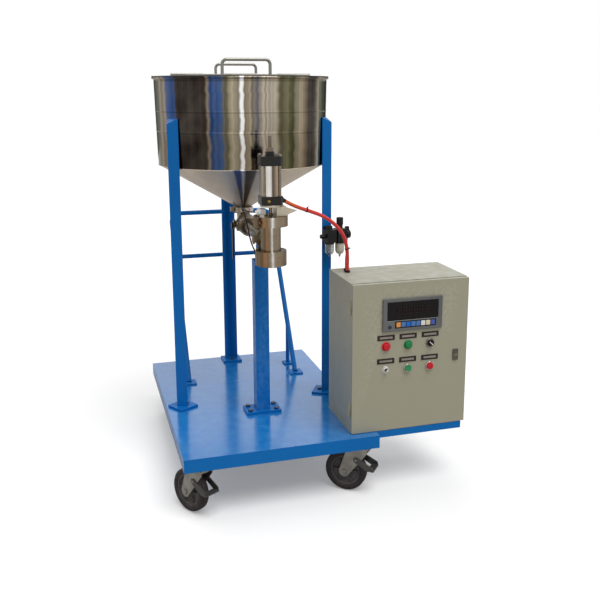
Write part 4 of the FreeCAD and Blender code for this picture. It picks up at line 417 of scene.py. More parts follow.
class Net:
    """Short words for building a node tree."""

    def __init__(self, tree: bpy.types.NodeTree) -> None:
        """Hold a tree and, in a group, its input and output nodes."""
        self.tree = tree
        kinds = {node.bl_idname: node for node in tree.nodes}
        self.input, self.output = kinds.get("NodeGroupInput"), kinds.get("NodeGroupOutput")

    def node(self, kind: str, **settings: object) -> bpy.types.Node:
        """New node with its settings."""
        made = self.tree.nodes.new(kind)
        for name, value in settings.items():
            setattr(made, name, value)
        return made

    def join(self, source: Port | float, target: Port) -> None:
        """Link an output to an input, or set the input where the source is a number."""
        socket = target[0].inputs[target[1]]
        if isinstance(source, tuple) and isinstance(source[0], bpy.types.Node):
            self.tree.links.new(source[0].outputs[source[1]], socket)
        else:
            socket.default_value = source

    def coordinates(self) -> Port:
        """Object coordinates, which are the machine's own metres."""
        return self.node("ShaderNodeTexCoord"), "Object"

    def noise(self, place: Port, scale: Port | float, detail: float = 2.0) -> Port:
        """Noise value at a place."""
        made = self.node("ShaderNodeTexNoise")
        for name, value in (("Scale", scale), ("Detail", detail), ("Vector", place)):
            self.join(value, (made, name))
        return made, "Fac"

    def streak(self, value: Port, scale: float, detail: float) -> Port:
        """Noise along one value."""
        made = self.node("ShaderNodeTexNoise", noise_dimensions="1D")
        for name, number in (("Scale", scale), ("Detail", detail), ("W", value)):
            self.join(number, (made, name))
        return made, "Fac"

    def sum(self, operation: str, first: Port | float, second: Port | float = 0.0) -> Port:
        """Result of a sum of two values."""
        made = self.node("ShaderNodeMath", operation=operation)
        self.join(first, (made, 0))
        self.join(second, (made, 1))
        return made, "Value"

    def span(self, value: Port, low: float, high: float, start: Port | float = 0.0,
             end: Port | float = 1.0) -> Port:
        """Value spread from the range low to high onto start to end, held at its ends."""
        made = self.node("ShaderNodeMapRange")
        names = ("Value", "From Min", "From Max", "To Min", "To Max")
        for name, number in zip(names, (value, low, high, start, end)):
            self.join(number, (made, name))
        return made, "Result"

    def mix(self, first: Port | tuple, second: Port | tuple, share: Port | float) -> Port:
        """Colour between two colours."""
        made = self.node("ShaderNodeMix", data_type="RGBA")
        self.join(share, (made, 0))
        self.join(first, (made, 6))
        self.join(second, (made, 7))
        return made, 2

    def bump(self, height: Port, strength: Port | float, depth: Port | float) -> bpy.types.Node:
        """Bump node for a height."""
        made = self.node("ShaderNodeBump")
        self.join(height, (made, "Height"))
        self.join(strength, (made, "Strength"))
        self.join(depth, (made, "Distance"))
        return made

    def group(self, tree: bpy.types.NodeTree, **values: Port | tuple | float) -> bpy.types.Node:
        """Placed node group; an underscore in a value's name stands for a space."""
        made = self.node("ShaderNodeGroup", node_tree=tree)
        for name, value in values.items():
            self.join(value, (made, name.replace("_", " ")))
        return made

    def ramp(self, value: Port, stops: list[tuple[float, Colour]]) -> Port:
        """Colour read along a band of tones."""
        made = self.node("ShaderNodeValToRGB")
        self.join(value, (made, "Fac"))
        for number, (position, colour) in enumerate(stops):
            stop = made.color_ramp.elements[number] if number < 2 else made.color_ramp.elements.new(position)
            stop.position, stop.color = position, linear(colour)
        return made, "Color"

    def angle_round(self, centre: np.ndarray, start: float) -> tuple[Port, Port]:
        """Share of half a turn about an upright axis, and the height, for painted reflection bands down a
        round wall.
        """
        shift = self.node("ShaderNodeMapping")
        shift.inputs["Location"].default_value = (-centre[0], -centre[1], 0.0)
        self.join(self.coordinates(), (shift, "Vector"))
        parts = self.node("ShaderNodeSeparateXYZ")
        self.join((shift, "Vector"), (parts, "Vector"))
        angle = self.sum("ARCTAN2", (parts, "Y"), (parts, "X"))
        share = self.sum("DIVIDE", self.sum("SUBTRACT", angle, start), math.pi)
        return self.sum("ADD", share, 2.0), (parts, "Z")


def bare_material(name: str) -> tuple[bpy.types.Material, Net]:
    """New material with an empty node tree, and the net of that tree."""
    material = bpy.data.materials.new(name)
    material.use_nodes = True
    material.node_tree.nodes.clear()
    return material, Net(material.node_tree)


@dataclass(frozen=True)
class Finish:
    """One paint, metal, rubber or plastic, with how it wears and gathers dust; on the cabinet and the deck
    the dust colour paints a lighter top instead.

    Colours are screen colours. Scales are counts per metre.
    """

    name: str
    colour: Colour
    shade: Colour
    metallic: float = 0.0
    gloss: tuple[float, float] = (0.3, 0.45)
    specular: float = 0.25
    coat: float = 0.0
    coat_rough: float = 0.08
    patch: float = 7.0
    drift: float = 0.6
    relief: tuple[float, float] = (350.0, 0.08)
    grain: tuple[float, float, float] | None = None
    bare: Colour = (150, 150, 150)
    wear: float = 0.3
    dust: float = 0.1
    dust_and_top_light_colour: Colour = (150, 140, 125)
    coat_on_top: bool = False

    def toned(self, net: Net, effects: Effects) -> Port:
        """The finish's own colour before wear, dust and painted top light."""
        return self.drifting(net, effects, linear(self.colour))

    def drifting(self, net: Net, effects: Effects, tone: Port | tuple) -> Port:
        """A tone that fades in clouds into the finish's shade."""
        clouds = net.group(effects.clouds, Tone=tone, Other_tone=linear(self.shade), Scale=self.patch,
                           Amount=self.drift)
        return clouds, "Colour"

    def shader(self, net: Net) -> bpy.types.Node:
        """The principled shader with its even values on its own sockets."""
        shader = net.node("ShaderNodeBsdfPrincipled")
        shader.inputs["Metallic"].default_value = self.metallic
        shader.inputs["Specular IOR Level"].default_value = 0.5 if self.metallic > 0.5 else self.specular
        shader.inputs["Coat Weight"].default_value = self.coat
        shader.inputs["Coat Roughness"].default_value = self.coat_rough
        out = net.node("ShaderNodeOutputMaterial")
        net.join((shader, "BSDF"), (out, "Surface"))
        return shader

    def build(self, effects: Effects) -> bpy.types.Material:
        """Node material of this finish.

        Args:
            effects: the shared node groups.

        Returns:
            The material.
        """
        material, net = bare_material(self.name)
        shader = self.shader(net)
        worn = net.group(effects.edges, Colour=self.toned(net, effects), Bare=linear(self.bare),
                         Amount=self.wear)
        # Dust on faces that look up; on the cabinet and deck its pale colours are painted top light and a
        # painted sky sheen.
        dusty_and_top_lit = net.group(effects.dust, Colour=(worn, "Colour"), Dust=linear(self.dust_and_top_light_colour),
                          Amount=self.dust)
        net.join((dusty_and_top_lit, "Colour"), (shader, "Base Color"))
        if self.coat_on_top:
            net.join(net.sum("MULTIPLY", (dusty_and_top_lit, "Up"), self.coat), (shader, "Coat Weight"))
        if self.grain:
            x, y, z = self.grain
            worked = net.group(effects.grain, Across_X=x, Across_Y=y, Across_Z=z, Dull=self.gloss[1],
                               Bright=self.gloss[0], Strength=self.relief[1])
            net.join((worked, "Roughness"), (shader, "Roughness"))
        else:
            smooth = net.span(net.noise(net.coordinates(), 24.0, detail=5.0), 0.35, 0.65, *self.gloss)
            matt = net.sum("ADD", smooth, net.sum("MULTIPLY", (dusty_and_top_lit, "Mask"), 0.4))
            net.join(matt, (shader, "Roughness"))
            worked = net.group(effects.relief, Scale=self.relief[0], Strength=self.relief[1])
        net.join((worked, "Normal"), (shader, "Normal"))
        return material


@dataclass(frozen=True)
class PaintedReflectionFinish(Finish):
    """Polished sheet whose colour carries painted reflections: the room's upright bands of light and dark,
    and a painted highlight line, painted around it.
    """

    centre: tuple[float, float] = (340.0, 620.0)
    first: float = -191.7
    bands: tuple[tuple[float, Colour], ...] = ()
    sway: float = 0.012
    reflection_streaks: float = 0.0

    def toned(self, net: Net, effects: Effects) -> Port:
        """Painted reflection bands by the angle about the hopper's axis, swaying with height, with finer
        painted reflection streaks where set, and fading in clouds.
        """
        share, height = net.angle_round(spot(*self.centre), math.radians(self.first))
        wave = net.sum("SUBTRACT", net.streak(height, 22.0, 2.0), 0.5)
        swayed = net.sum("ADD", share, net.sum("MULTIPLY", wave, self.sway))
        # The ramp paints the reflections into the colour; the scaled streaks are finer painted reflections.
        tones = net.ramp(net.sum("FRACT", swayed), list(self.bands))
        if self.reflection_streaks:
            streaked_reflections = net.node("ShaderNodeVectorMath", operation="SCALE")
            net.join(tones, (streaked_reflections, 0))
            fine = net.span(net.streak(swayed, 46.0, 3.0), 0.36, 0.64, 1.0 - self.reflection_streaks, 1.0 + self.reflection_streaks)
            net.join(fine, (streaked_reflections, "Scale"))
            tones = streaked_reflections, "Vector"
        return self.drifting(net, effects, tones)


@dataclass(frozen=True)
class HoseFinish(Finish):
    """Rubber hose whose first stretch is an orange tone that turns red."""

    start: tuple[float, float] = (386.0, 470.0)
    first_colour: Colour = (214, 104, 34)

    def toned(self, net: Net, effects: Effects) -> Port:
        """Orange at the fitting, red from a hand's width on."""
        parts = net.node("ShaderNodeSeparateXYZ")
        net.join(net.coordinates(), (parts, "Vector"))
        low, high = (spot(x, 0)[0] for x in self.start)
        tone = net.mix(linear(self.first_colour), linear(self.colour), net.span((parts, "X"), low, high))
        return self.drifting(net, effects, tone)


@dataclass(frozen=True)
class ClearFinish(Finish):
    """Clear moulding: polycarbonate bowl or smoked window."""

    clear: float = 0.9

    def build(self, effects: Effects) -> bpy.types.Material:
        """Clear node material with faint scuffs in its gloss.

        Args:
            effects: the shared node groups.

        Returns:
            The material.
        """
        material, net = bare_material(self.name)
        shader = self.shader(net)
        shader.inputs["Transmission Weight"].default_value = self.clear
        shader.inputs["IOR"].default_value = 1.5
        net.join(self.toned(net, effects), (shader, "Base Color"))
        scuffs = net.noise(net.coordinates(), 60.0, 5.0)
        net.join(net.span(scuffs, 0.4, 0.7, *self.gloss), (shader, "Roughness"))
        return material


# Painted reflections: the tones that polished steel would mirror of a workshop, painted into its colour, in
# words
PAINTED_REFLECTION_TONES: dict[str, Colour] = {
    "bottle green": (35, 50, 35), "moss": (80, 80, 55), "olive": (110, 105, 80), "sand": (130, 115, 95),
    "pale sand": (150, 140, 120), "oat": (165, 155, 140), "navy": (40, 70, 120), "steel blue": (50, 80, 130),
    "soot": (45, 38, 35), "coffee": (60, 50, 45), "slate": (80, 80, 90), "white": (255, 255, 255),
    "peach": (205, 190, 170), "dusk": (190, 175, 155), "stone": (150, 138, 118), "umber": (100, 88, 74),
    "rust": (165, 122, 88), "silver": (235, 230, 220), "lead": (90, 84, 78), "copper": (160, 138, 118),
}


def bands(**places: tuple[float, ...]) -> tuple[tuple[float, Colour], ...]:
    """Stops of a painted reflection colour ramp in order, from each tone's places; an underscore stands for a
    space.
    """
    stops = [(place, PAINTED_REFLECTION_TONES[tone.replace("_", " ")]) for tone, where in places.items() for place in where]
    return tuple(sorted(stops))


# Painted reflection bands and painted highlight lines (white, silver) by share of half a turn about each
# axis.
DRUM_PAINTED_REFLECTIONS = bands(
    bottle_green=(0.0, 1.0), moss=(0.12, 0.69, 0.865), sand=(0.145, 0.18, 0.384, 0.51, 0.745),
    navy=(0.196, 0.238, 0.393), soot=(0.252, 0.3, 0.376, 0.768, 0.806), steel_blue=(0.41, 0.43),
    olive=(0.445, 0.64), pale_sand=(0.47, 0.4925, 0.535, 0.715, 0.826), white=(0.4955, 0.507),
    slate=(0.552,), oat=(0.572, 0.61))
CONE_PAINTED_REFLECTIONS = bands(dusk=(0.0, 0.9, 1.0), peach=(0.25, 0.44, 0.466, 0.556, 0.75), navy=(0.474,),
                   steel_blue=(0.494,), silver=(0.499, 0.506), coffee=(0.513, 0.548))
BODY_PAINTED_REFLECTIONS = bands(umber=(0.0, 0.13, 0.29, 0.9, 1.0), sand=(0.08, 0.2, 0.43, 0.84), rust=(0.36,),
                   oat=(0.49, 0.565), white=(0.525,), stone=(0.6, 0.78), pale_sand=(0.7, 0.95))
BARREL_PAINTED_REFLECTIONS = bands(lead=(0.0, 0.555, 0.97, 1.0), stone=(0.13, 0.92), oat=(0.22,), silver=(0.36, 0.52),
                     white=(0.46,), umber=(0.6,), copper=(0.66, 0.84), dusk=(0.74,))


class Finishes:
    """Every finish of the machine, made into a material when it is first asked for."""

    def __init__(self) -> None:
        """Describe the finishes."""
        self.effects = Effects()
        self.made: dict[str, bpy.types.Material] = {}
        steel = {"metallic": 1.0, "wear": 0.15, "bare": (225, 222, 215), "dust": 0.08}
        plastic = {"relief": (900.0, 0.05), "dust": 0.06, "wear": 0.1, "gloss": (0.28, 0.42)}
        self.known: dict[str, Finish] = {finish.name: finish for finish in (
            Finish("blue_enamel", (4, 104, 180), (5, 94, 165), gloss=(0.3, 0.42), specular=0.12, coat=0.06,
                   coat_rough=0.12, relief=(260.0, 0.015), bare=(96, 140, 190), wear=0.3, dust=0.02,
                   patch=3.0, drift=0.35),
            # The deck's cyan dust colour on faces that look up is a painted sheen of the sky on the deck top,
            # not dust.
            Finish("deck_enamel", (2, 106, 182), (2, 97, 168), gloss=(0.16, 0.24), specular=0.16, coat=1.0,
                   coat_rough=0.16, relief=(120.0, 0.01), bare=(90, 140, 196), wear=0.2, dust=0.12, patch=2.5,
                   drift=0.35, dust_and_top_light_colour=(120, 200, 226), coat_on_top=True),
            # A darker copy of the blue enamel for the frame under the deck: painted shade where the deck
            # shadows it.
            Finish("frame_enamel", (14, 62, 120), (10, 48, 96), gloss=(0.35, 0.5), coat=0.2, dust=0.2),
            # Its near-white dust colour on faces that look up is painted top light: the box top made lighter
            # where the light falls.
            Finish("cabinet_paint", (160, 157, 138), (155, 152, 133), gloss=(0.36, 0.48), coat=0.1,
                   relief=(420.0, 0.02), bare=(196, 192, 176), wear=0.25, dust=0.22, patch=1.5, drift=0.3,
                   dust_and_top_light_colour=(226, 232, 236)),
            Finish("zinc", (150, 148, 142), (108, 106, 102), metallic=0.9, gloss=(0.3, 0.5), patch=30.0,
                   bare=(200, 198, 194), dust=0.2, dust_and_top_light_colour=(140, 132, 118)),
            Finish("pedal_steel", (84, 84, 84), (58, 58, 60), metallic=0.7, gloss=(0.35, 0.5), patch=30.0,
                   bare=(150, 148, 144), dust=0.2, dust_and_top_light_colour=(120, 112, 102)),
            Finish("bolt_zinc", (60, 72, 92), (44, 54, 72), metallic=0.6, gloss=(0.35, 0.5), patch=40.0,
                   dust=0.2),
            Finish("chrome", (210, 210, 206), (180, 180, 178), gloss=(0.1, 0.2), patch=40.0, **steel),
            # The drum, cone, filling body, clamp rings and cylinder barrel carry painted reflections and
            # painted highlight lines in their colour, from the tables above.
            PaintedReflectionFinish("drum_steel", (150, 146, 136), (126, 120, 108), metallic=1.0, gloss=(0.07, 0.16),
                         patch=11.0, drift=0.16, grain=(30.0, 30.0, 1100.0), relief=(0.0, 0.02), wear=0.1,
                         dust=0.04, bare=(220, 220, 215), bands=DRUM_PAINTED_REFLECTIONS, reflection_streaks=0.38),
            PaintedReflectionFinish("cone_steel", (172, 156, 140), (150, 138, 124), metallic=0.85, gloss=(0.3, 0.42),
                         patch=9.0, drift=0.3, grain=(30.0, 30.0, 900.0), relief=(0.0, 0.04), wear=0.1,
                         dust=0.04, bare=(220, 220, 215), bands=CONE_PAINTED_REFLECTIONS, sway=0.004),
            Finish("lid_steel", (132, 130, 124), (104, 102, 96), gloss=(0.16, 0.28),
                   grain=(700.0, 30.0, 30.0), relief=(0.0, 0.05), patch=5.0, **steel),
            Finish("polished_stainless", (142, 130, 112), (84, 74, 62), gloss=(0.14, 0.28), patch=34.0,
                   grain=(60.0, 60.0, 1500.0), relief=(0.0, 0.05), drift=0.9, **steel),
            PaintedReflectionFinish("body_steel", (150, 138, 116), (112, 98, 78), gloss=(0.2, 0.32), patch=22.0,
                         drift=0.3, grain=(50.0, 50.0, 1800.0), relief=(0.0, 0.05), centre=(340.0, 170.0),
                         bands=BODY_PAINTED_REFLECTIONS, sway=0.006, **steel),
            PaintedReflectionFinish("ring_steel", (150, 138, 116), (122, 92, 62), gloss=(0.24, 0.36), patch=30.0,
                         drift=0.35, grain=(50.0, 50.0, 2200.0), relief=(0.0, 0.09), centre=(340.0, 170.0),
                         bands=BODY_PAINTED_REFLECTIONS, sway=0.01, **steel),
            PaintedReflectionFinish("barrel_steel", (190, 184, 174), (132, 122, 112), metallic=0.95, gloss=(0.16, 0.26),
                         patch=16.0, drift=0.2, grain=(900.0, 900.0, 40.0), relief=(0.0, 0.04),
                         bare=(225, 225, 220), wear=0.15, dust=0.04, centre=(340.0, 170.0),
                         bands=BARREL_PAINTED_REFLECTIONS, sway=0.004),
            Finish("rod_steel", (150, 142, 132), (116, 106, 96), gloss=(0.2, 0.32), patch=30.0, **steel),
            Finish("anodised", (206, 196, 178), (184, 174, 156), metallic=0.45, gloss=(0.34, 0.46),
                   patch=30.0, relief=(900.0, 0.08), bare=(230, 225, 215)),
            Finish("black_anodised", (15, 14, 14), (9, 8, 9), gloss=(0.3, 0.44), specular=0.35,
                   relief=(600.0, 0.08), bare=(92, 90, 88), wear=0.4, dust=0.06),
            Finish("brass", (158, 132, 72), (108, 92, 48), metallic=0.9, gloss=(0.3, 0.45), patch=60.0,
                   bare=(214, 196, 132)),
            HoseFinish("hose_rubber", (214, 52, 44), (188, 40, 34), gloss=(0.24, 0.36), coat=0.35,
                       relief=(700.0, 0.05), wear=0.0, dust=0.06, patch=30.0, drift=0.4),
            Finish("violet_tube", (44, 28, 78), (30, 20, 58), gloss=(0.16, 0.26), coat=0.3, wear=0.0,
                   patch=30.0),
            Finish("cable_jacket", (34, 34, 38), (24, 24, 26), gloss=(0.36, 0.5), wear=0.0, patch=40.0),
            Finish("tyre_rubber", (50, 44, 46), (34, 30, 33), gloss=(0.5, 0.68), patch=24.0,
                   relief=(500.0, 0.25), bare=(120, 108, 98), wear=0.5, dust=0.4, dust_and_top_light_colour=(122, 104, 98)),
            Finish("hub_plastic", (84, 82, 84), (58, 56, 60), gloss=(0.4, 0.55), patch=24.0,
                   bare=(150, 142, 134), wear=0.4, dust=0.35, dust_and_top_light_colour=(140, 128, 114)),
            Finish("black_plastic", (20, 19, 22), (12, 12, 14), bare=(60, 60, 62), **plastic),
            Finish("dark_paint", (96, 92, 84), (70, 66, 60), metallic=0.3, **plastic),
            Finish("label_black", (44, 36, 34), (34, 28, 28), **plastic),
            Finish("label_pale", (150, 142, 132), (116, 108, 100), **plastic),
            Finish("bezel_grey", (104, 106, 106), (88, 90, 92), bare=(140, 142, 142), **plastic),
            Finish("white_plastic", (244, 244, 244), (232, 232, 234), **plastic),
            Finish("cream_plastic", (214, 206, 186), (190, 182, 160), **plastic),
            Finish("grey_plastic", (150, 152, 150), (120, 122, 122), **plastic),
            Finish("segment_dim", (44, 18, 20), (32, 14, 16), **plastic),
            Finish("gear_blue", (70, 92, 120), (52, 70, 96), **plastic),
            *(Finish(name, colour, tuple(int(0.8 * c) for c in colour), coat=0.15, relief=(900.0, 0.03),
                     wear=0.05, dust=0.04, gloss=(0.18, 0.28))
              for name, colour in {"button_red": (206, 24, 40), "button_green": (18, 132, 74),
                                   "button_pale_green": (52, 146, 88), "key_orange": (224, 150, 72),
                                   "key_steel": (74, 118, 178), "key_blue": (24, 102, 196),
                                   "key_white": (222, 222, 218), "key_cream": (226, 208, 180),
                                   "key_violet": (70, 92, 180), "key_dark": (40, 50, 70)}.items()),
            ClearFinish("clear_bowl", (236, 238, 236), (214, 218, 216), gloss=(0.04, 0.12), clear=0.92),
            Finish("display_glass", (18, 14, 16), (10, 9, 11), gloss=(0.1, 0.18), specular=0.2,
                   relief=(900.0, 0.0), wear=0.0, dust=0.03),
        )}

    def get(self, name: str) -> bpy.types.Material:
        """Material of a finish by its name."""
        if name not in self.made:
            self.made[name] = self.known[name].build(self.effects)
        return self.made[name]


# Pieces


def linked(name: str, data: bpy.types.ID) -> bpy.types.Object:
    """New object of its data, put into the scene."""
    made = bpy.data.objects.new(name, data)
    bpy.context.scene.collection.objects.link(made)
    return made


class Shop:
    """Makes pieces of the machine and keeps count of them."""

    def __init__(self, frame: dict, finishes: Finishes) -> None:
        """Hold the frame and the finishes."""
        self.frame, self.finishes = frame, finishes
        self.dressed: set[str] = set()

    def settle(self, piece: bpy.types.Object, body: str, slot: Slot, finish: str,
               stands_for: tuple[str, ...]) -> None:
        """Give a piece its finish, the body it rides on and the nodes it stands for."""
        piece.data.materials.clear()
        piece.data.materials.append(self.finishes.get(finish))
        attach(piece, body)
        if stands_for:
            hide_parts(*stands_for)
            self.dressed.update(stands_for)
        LOG.info("piece %s on %s", piece.name, body)

    def piece(self, name: str, surfaces: list[Surface], body: str, slot: Slot, finish: str,
              stands_for: tuple[str, ...] = (), sharp: float = SHARP_EDGE) -> bpy.types.Object:
        """New mesh piece from worked-out surfaces.

        Args:
            name: the piece's name.
            surfaces: closed surfaces in the machine's frame.
            body: the body that it moves with.
            slot: the record's material slot; not used.
            finish: name of its finish.
            stands_for: nodes that it replaces.
            sharp: angle in degrees above which an edge stays sharp.

        Returns:
            The piece.
        """
        points, faces = together(surfaces)
        mesh = bpy.data.meshes.new(name)
        mesh.from_pydata(points.tolist(), [], faces.tolist())
        self.clean(mesh, sharp)
        made = linked(name, mesh)
        self.settle(made, body, slot, finish, stands_for)
        return made

    @staticmethod
    def clean(mesh: bpy.types.Mesh, sharp: float, flatten: bool = False) -> None:
        """Merge doubles, close poles, turn faces outwards and shade by angle."""
        work = bmesh.new()
        work.from_mesh(mesh)
        bmesh.ops.remove_doubles(work, verts=work.verts, dist=2e-6)
        bmesh.ops.dissolve_degenerate(work, dist=1e-6, edges=work.edges)
        if flatten:
            bmesh.ops.dissolve_limit(work, angle_limit=math.radians(0.6), verts=work.verts, edges=work.edges)
        bmesh.ops.recalc_face_normals(work, faces=work.faces)
        work.to_mesh(mesh)
        work.free()
        mesh.shade_smooth()
        mesh.set_sharp_from_angle(angle=math.radians(sharp))

    def softened(self, node: str, slot: Slot, finish: str, edge: float = 0.8,
                 body: str = "machine") -> bpy.types.Object:
        """Copy of a node with its sharp edges eased by a bevel, which stands for the node.

        Args:
            node: the node's name.
            slot: the record's material slot; not used.
            finish: name of its finish.
            edge: the bevel's width in millimetres.
            body: the body that it moves with.

        Returns:
            The piece.
        """
        mesh = self.frame["nodes"][node].data.copy()
        mesh.name = f"{node}_eased"
        for layer in list(mesh.uv_layers):
            mesh.uv_layers.remove(layer)
        self.clean(mesh, SHARP_EDGE, flatten=True)
        made = linked(f"{node}_eased", mesh)
        bevel = made.modifiers.new("Eased edges", "BEVEL")
        bevel.width, bevel.segments = edge / 1000.0, 2
        bevel.limit_method, bevel.angle_limit = "ANGLE", math.radians(SHARP_EDGE)
        bevel.harden_normals, bevel.use_clamp_overlap = True, True
        self.settle(made, body, slot, finish, (node,))
        return made

    def coat(self, node: str, finish: str) -> None:
        """Give a node that stays as it is its material."""
        mesh = self.frame["nodes"][node].data
        mesh.materials.clear()
        mesh.materials.append(self.finishes.get(finish))
        self.dressed.add(node)


@dataclass
class Lines:
    """The free hose, tube and cable, each on its own route."""

    shop: Shop
    hose: list[tuple[float, float, float]] = field(default_factory=lambda: [
        (390.4, 170, 808.5), (412.9, 170, 795.5), (446, 173, 781.5), (484, 177, 768), (522, 183, 753),
        (558, 190, 731.5), (588, 197, 705), (611, 204, 674.5), (624, 211, 639.5), (630.5, 217.5, 602.5),
        (632, 222, 566), (632, 222, 536)])
    cable: list[tuple[float, float, float]] = field(default_factory=lambda: [
        (287, 170, 776), (268, 170, 776), (251, 180, 783), (243, 200, 791), (247, 224, 792), (259, 246, 778),
        (273, 266, 748), (285, 284, 710), (295, 299, 668), (306, 311, 634), (318.5, 318.5, 612),
        (321.5, 321.5, 578)])
    tube_start: tuple[float, float, float] = (699.0, 422.5, 621.0)
    tube_end: tuple[float, float, float] = (634.0, 246.0, 536.0)
    tube_out: tuple[tuple[float, float], ...] = ((0, 19), (9.5, 34.5), (26, 43), (60, 44))
    tube_in: tuple[tuple[float, float], ...] = ((60, 43), (26, 42), (9.5, 33.5), (0, 18))
    hose_radius: float = 6.5
    tube_radius: float = 3.0
    cable_radius: float = 2.5

    def curve(self, name: str, route: np.ndarray, radius: float, slot: Slot, finish: str) -> bpy.types.Object:
        """Round line on a smooth NURBS spline whose control points are the route's points."""
        data = bpy.data.curves.new(name, "CURVE")
        data.dimensions, data.bevel_depth, data.bevel_resolution = "3D", radius / 1000.0, 5
        data.use_fill_caps, data.resolution_u = True, 8
        spline = data.splines.new("NURBS")
        spline.points.add(len(route) - 1)
        spline.points.foreach_set("co", np.column_stack([route, np.ones(len(route))]).ravel())
        spline.order_u = 3
        spline.use_endpoint_u = True
        made = linked(name, data)
        self.shop.settle(made, "machine", slot, finish, (name,))
        return made

    def centreline(self, line: bpy.types.Object) -> np.ndarray:
        """Points of a line's own smooth centre, read from a copy of its spline with no thickness."""
        data = line.data.copy()
        data.bevel_depth = 0.0
        thin = bpy.data.objects.new("thin_line", data)
        mesh = bpy.data.meshes.new_from_object(thin)
        points = np.zeros(len(mesh.vertices) * 3)
        mesh.vertices.foreach_get("co", points)
        bpy.data.meshes.remove(mesh)
        bpy.data.objects.remove(thin)
        bpy.data.curves.remove(data)
        return points.reshape(-1, 3)

    def tie(self, name: str, centre: np.ndarray, share: float) -> bpy.types.Object:
        """Cable tie round the hose: a flat strap turned about its line, with its head and cut tail."""
        number = int(share * (len(centre) - 2)) + 1
        along = unit(centre[number + 1] - centre[number - 1])
        place = Place(tuple(centre[number]), (0.0, -1.0, 0.0), tuple(along))
        inner, outer = self.hose_radius - 0.4, self.hose_radius + 1.1
        strap = turned([(inner, -2.2), (outer, -2.2), (outer, 2.2), (inner, 2.2)], 0.4, segments=32)
        head, tail = slab(5.5, 5.0, 4.0, 0.8, 0.6), slab(2.6, 1.2, 6.0, 0.3, 0.2)
        head = Place((0.0, -self.hose_radius / 1000, 0.0), z=(0.0, -1.0, 0.0)).put(head)
        tail = Place((0.0, -(self.hose_radius + 2.5) / 1000, 0.0), z=(0.3, -1.0, 0.2)).put(tail)
        return self.shop.piece(name, [place.put(part) for part in (strap, head, tail)], "machine", Slot.BLACK,
                               "black_plastic")

    def tube_route(self) -> np.ndarray:
        """Supply tube: out of the air unit, over towards the box in plan, then down into its gland."""
        start, end = np.array(self.tube_start), np.array(self.tube_end)
        ahead = end - start
        ahead[2] = 0.0
        ahead = unit(ahead)
        down = np.array([0.0, 0.0, -1.0])
        first = [start] + [start + a * ahead + d * down for a, d in self.tube_out]
        last = [end - a * ahead - d * down for a, d in self.tube_in] + [end]
        return np.array([spot(*point) for point in first + last])

    def build(self) -> None:
        hose = self.curve("air_hose", np.array([spot(*p) for p in self.hose]), self.hose_radius, Slot.HOSE,
                          "hose_rubber")
        centre = self.centreline(hose)
        ties = [self.tie("hose_tie_upper", centre, 0.2), self.tie("hose_tie_lower", centre, 0.8)]
        tube = self.curve("supply_tube", self.tube_route(), self.tube_radius, Slot.VIOLET, "violet_tube")
        route = np.array([spot(*p) for p in self.cable])
        cable = self.curve("sensor_cable", route, self.cable_radius, Slot.RUBBER, "cable_jacket")


@dataclass
class Hopper:
    """Drum with its seams and rolled rim, cone, hinge bridge and the two half lids."""

    shop: Shop
    x: float = 340.0
    y: float = 620.0
    foot_z: float = 900.0
    rim_z: float = 1221.0
    foot_radius: float = 316.0
    top_radius: float = 323.0
    rim_radius: float = 330.0
    wall: float = 2.0
    seams: tuple[float, ...] = (1099.0, 1027.0)
    seam_proud: float = 0.9

    def wall_radius(self, height: np.ndarray) -> np.ndarray:
        """Outer radius of the tapered wall at a height."""
        share = (height - self.foot_z) / (self.rim_z - self.foot_z)
        return self.foot_radius + share * (self.top_radius - self.foot_radius)

    def drum(self) -> None:
        """Drum wall: the tapered line with a ridge at each seam, up over a rolled rim and down inside."""
        levels = [np.array([self.foot_z + 0.4, self.foot_z + 12.0])]
        for seam in sorted(self.seams):
            levels.append(seam + np.array([-7.0, -5.0, -3.0, -1.4, 0.0, 1.4, 3.0, 5.0, 7.0]))
        levels.append(np.array([self.rim_z - 20.0, self.rim_z - 10.0]))
        height = np.concatenate(levels)
        ridge = sum(self.seam_proud * np.exp(-((height - seam) / 1.3) ** 2) for seam in self.seams)
        outside = np.stack([self.wall_radius(height) + ridge, height], axis=1)
        turn = np.linspace(-0.6 * math.pi, 0.9 * math.pi, 18)
        roll = self.rim_radius - self.top_radius
        bar = roll / 2 + 0.8
        centre = np.array([self.rim_radius - bar, self.rim_z - bar])
        rim = centre + bar * np.stack([np.cos(turn), np.sin(turn)], axis=1)
        inside = np.stack([self.wall_radius(height[::-1]) - self.wall, height[::-1]], axis=1)
        surface = lathe(np.concatenate([outside, rim, inside]), 192)
        self.shop.piece("hopper_drum_sheet", [at(self.x, self.y, 0.0).put(surface)], "machine", Slot.BRUSHED,
                        "drum_steel", ("hopper_drum",), sharp=60.0)

    def build(self) -> None:
        """Make the drum's sheet and dress the cone, bridge and lids."""
        self.drum()
        self.shop.coat("hopper_cone", "cone_steel")
        for node, edge, body in (("lid_bridge", 0.6, "machine"), ("lid_front", 0.5, "front_lid"),
                                 ("lid_rear", 0.5, "rear_lid")):
            self.shop.softened(node, Slot.BRUSHED, "lid_steel", edge, body)
        foot = at(self.x, self.y, self.foot_z).put(hoop(self.foot_radius - 0.6, 1.5, 160))
        self.shop.piece("cone_seam_weld", [foot], "machine", Slot.BRUSHED, "cone_steel")


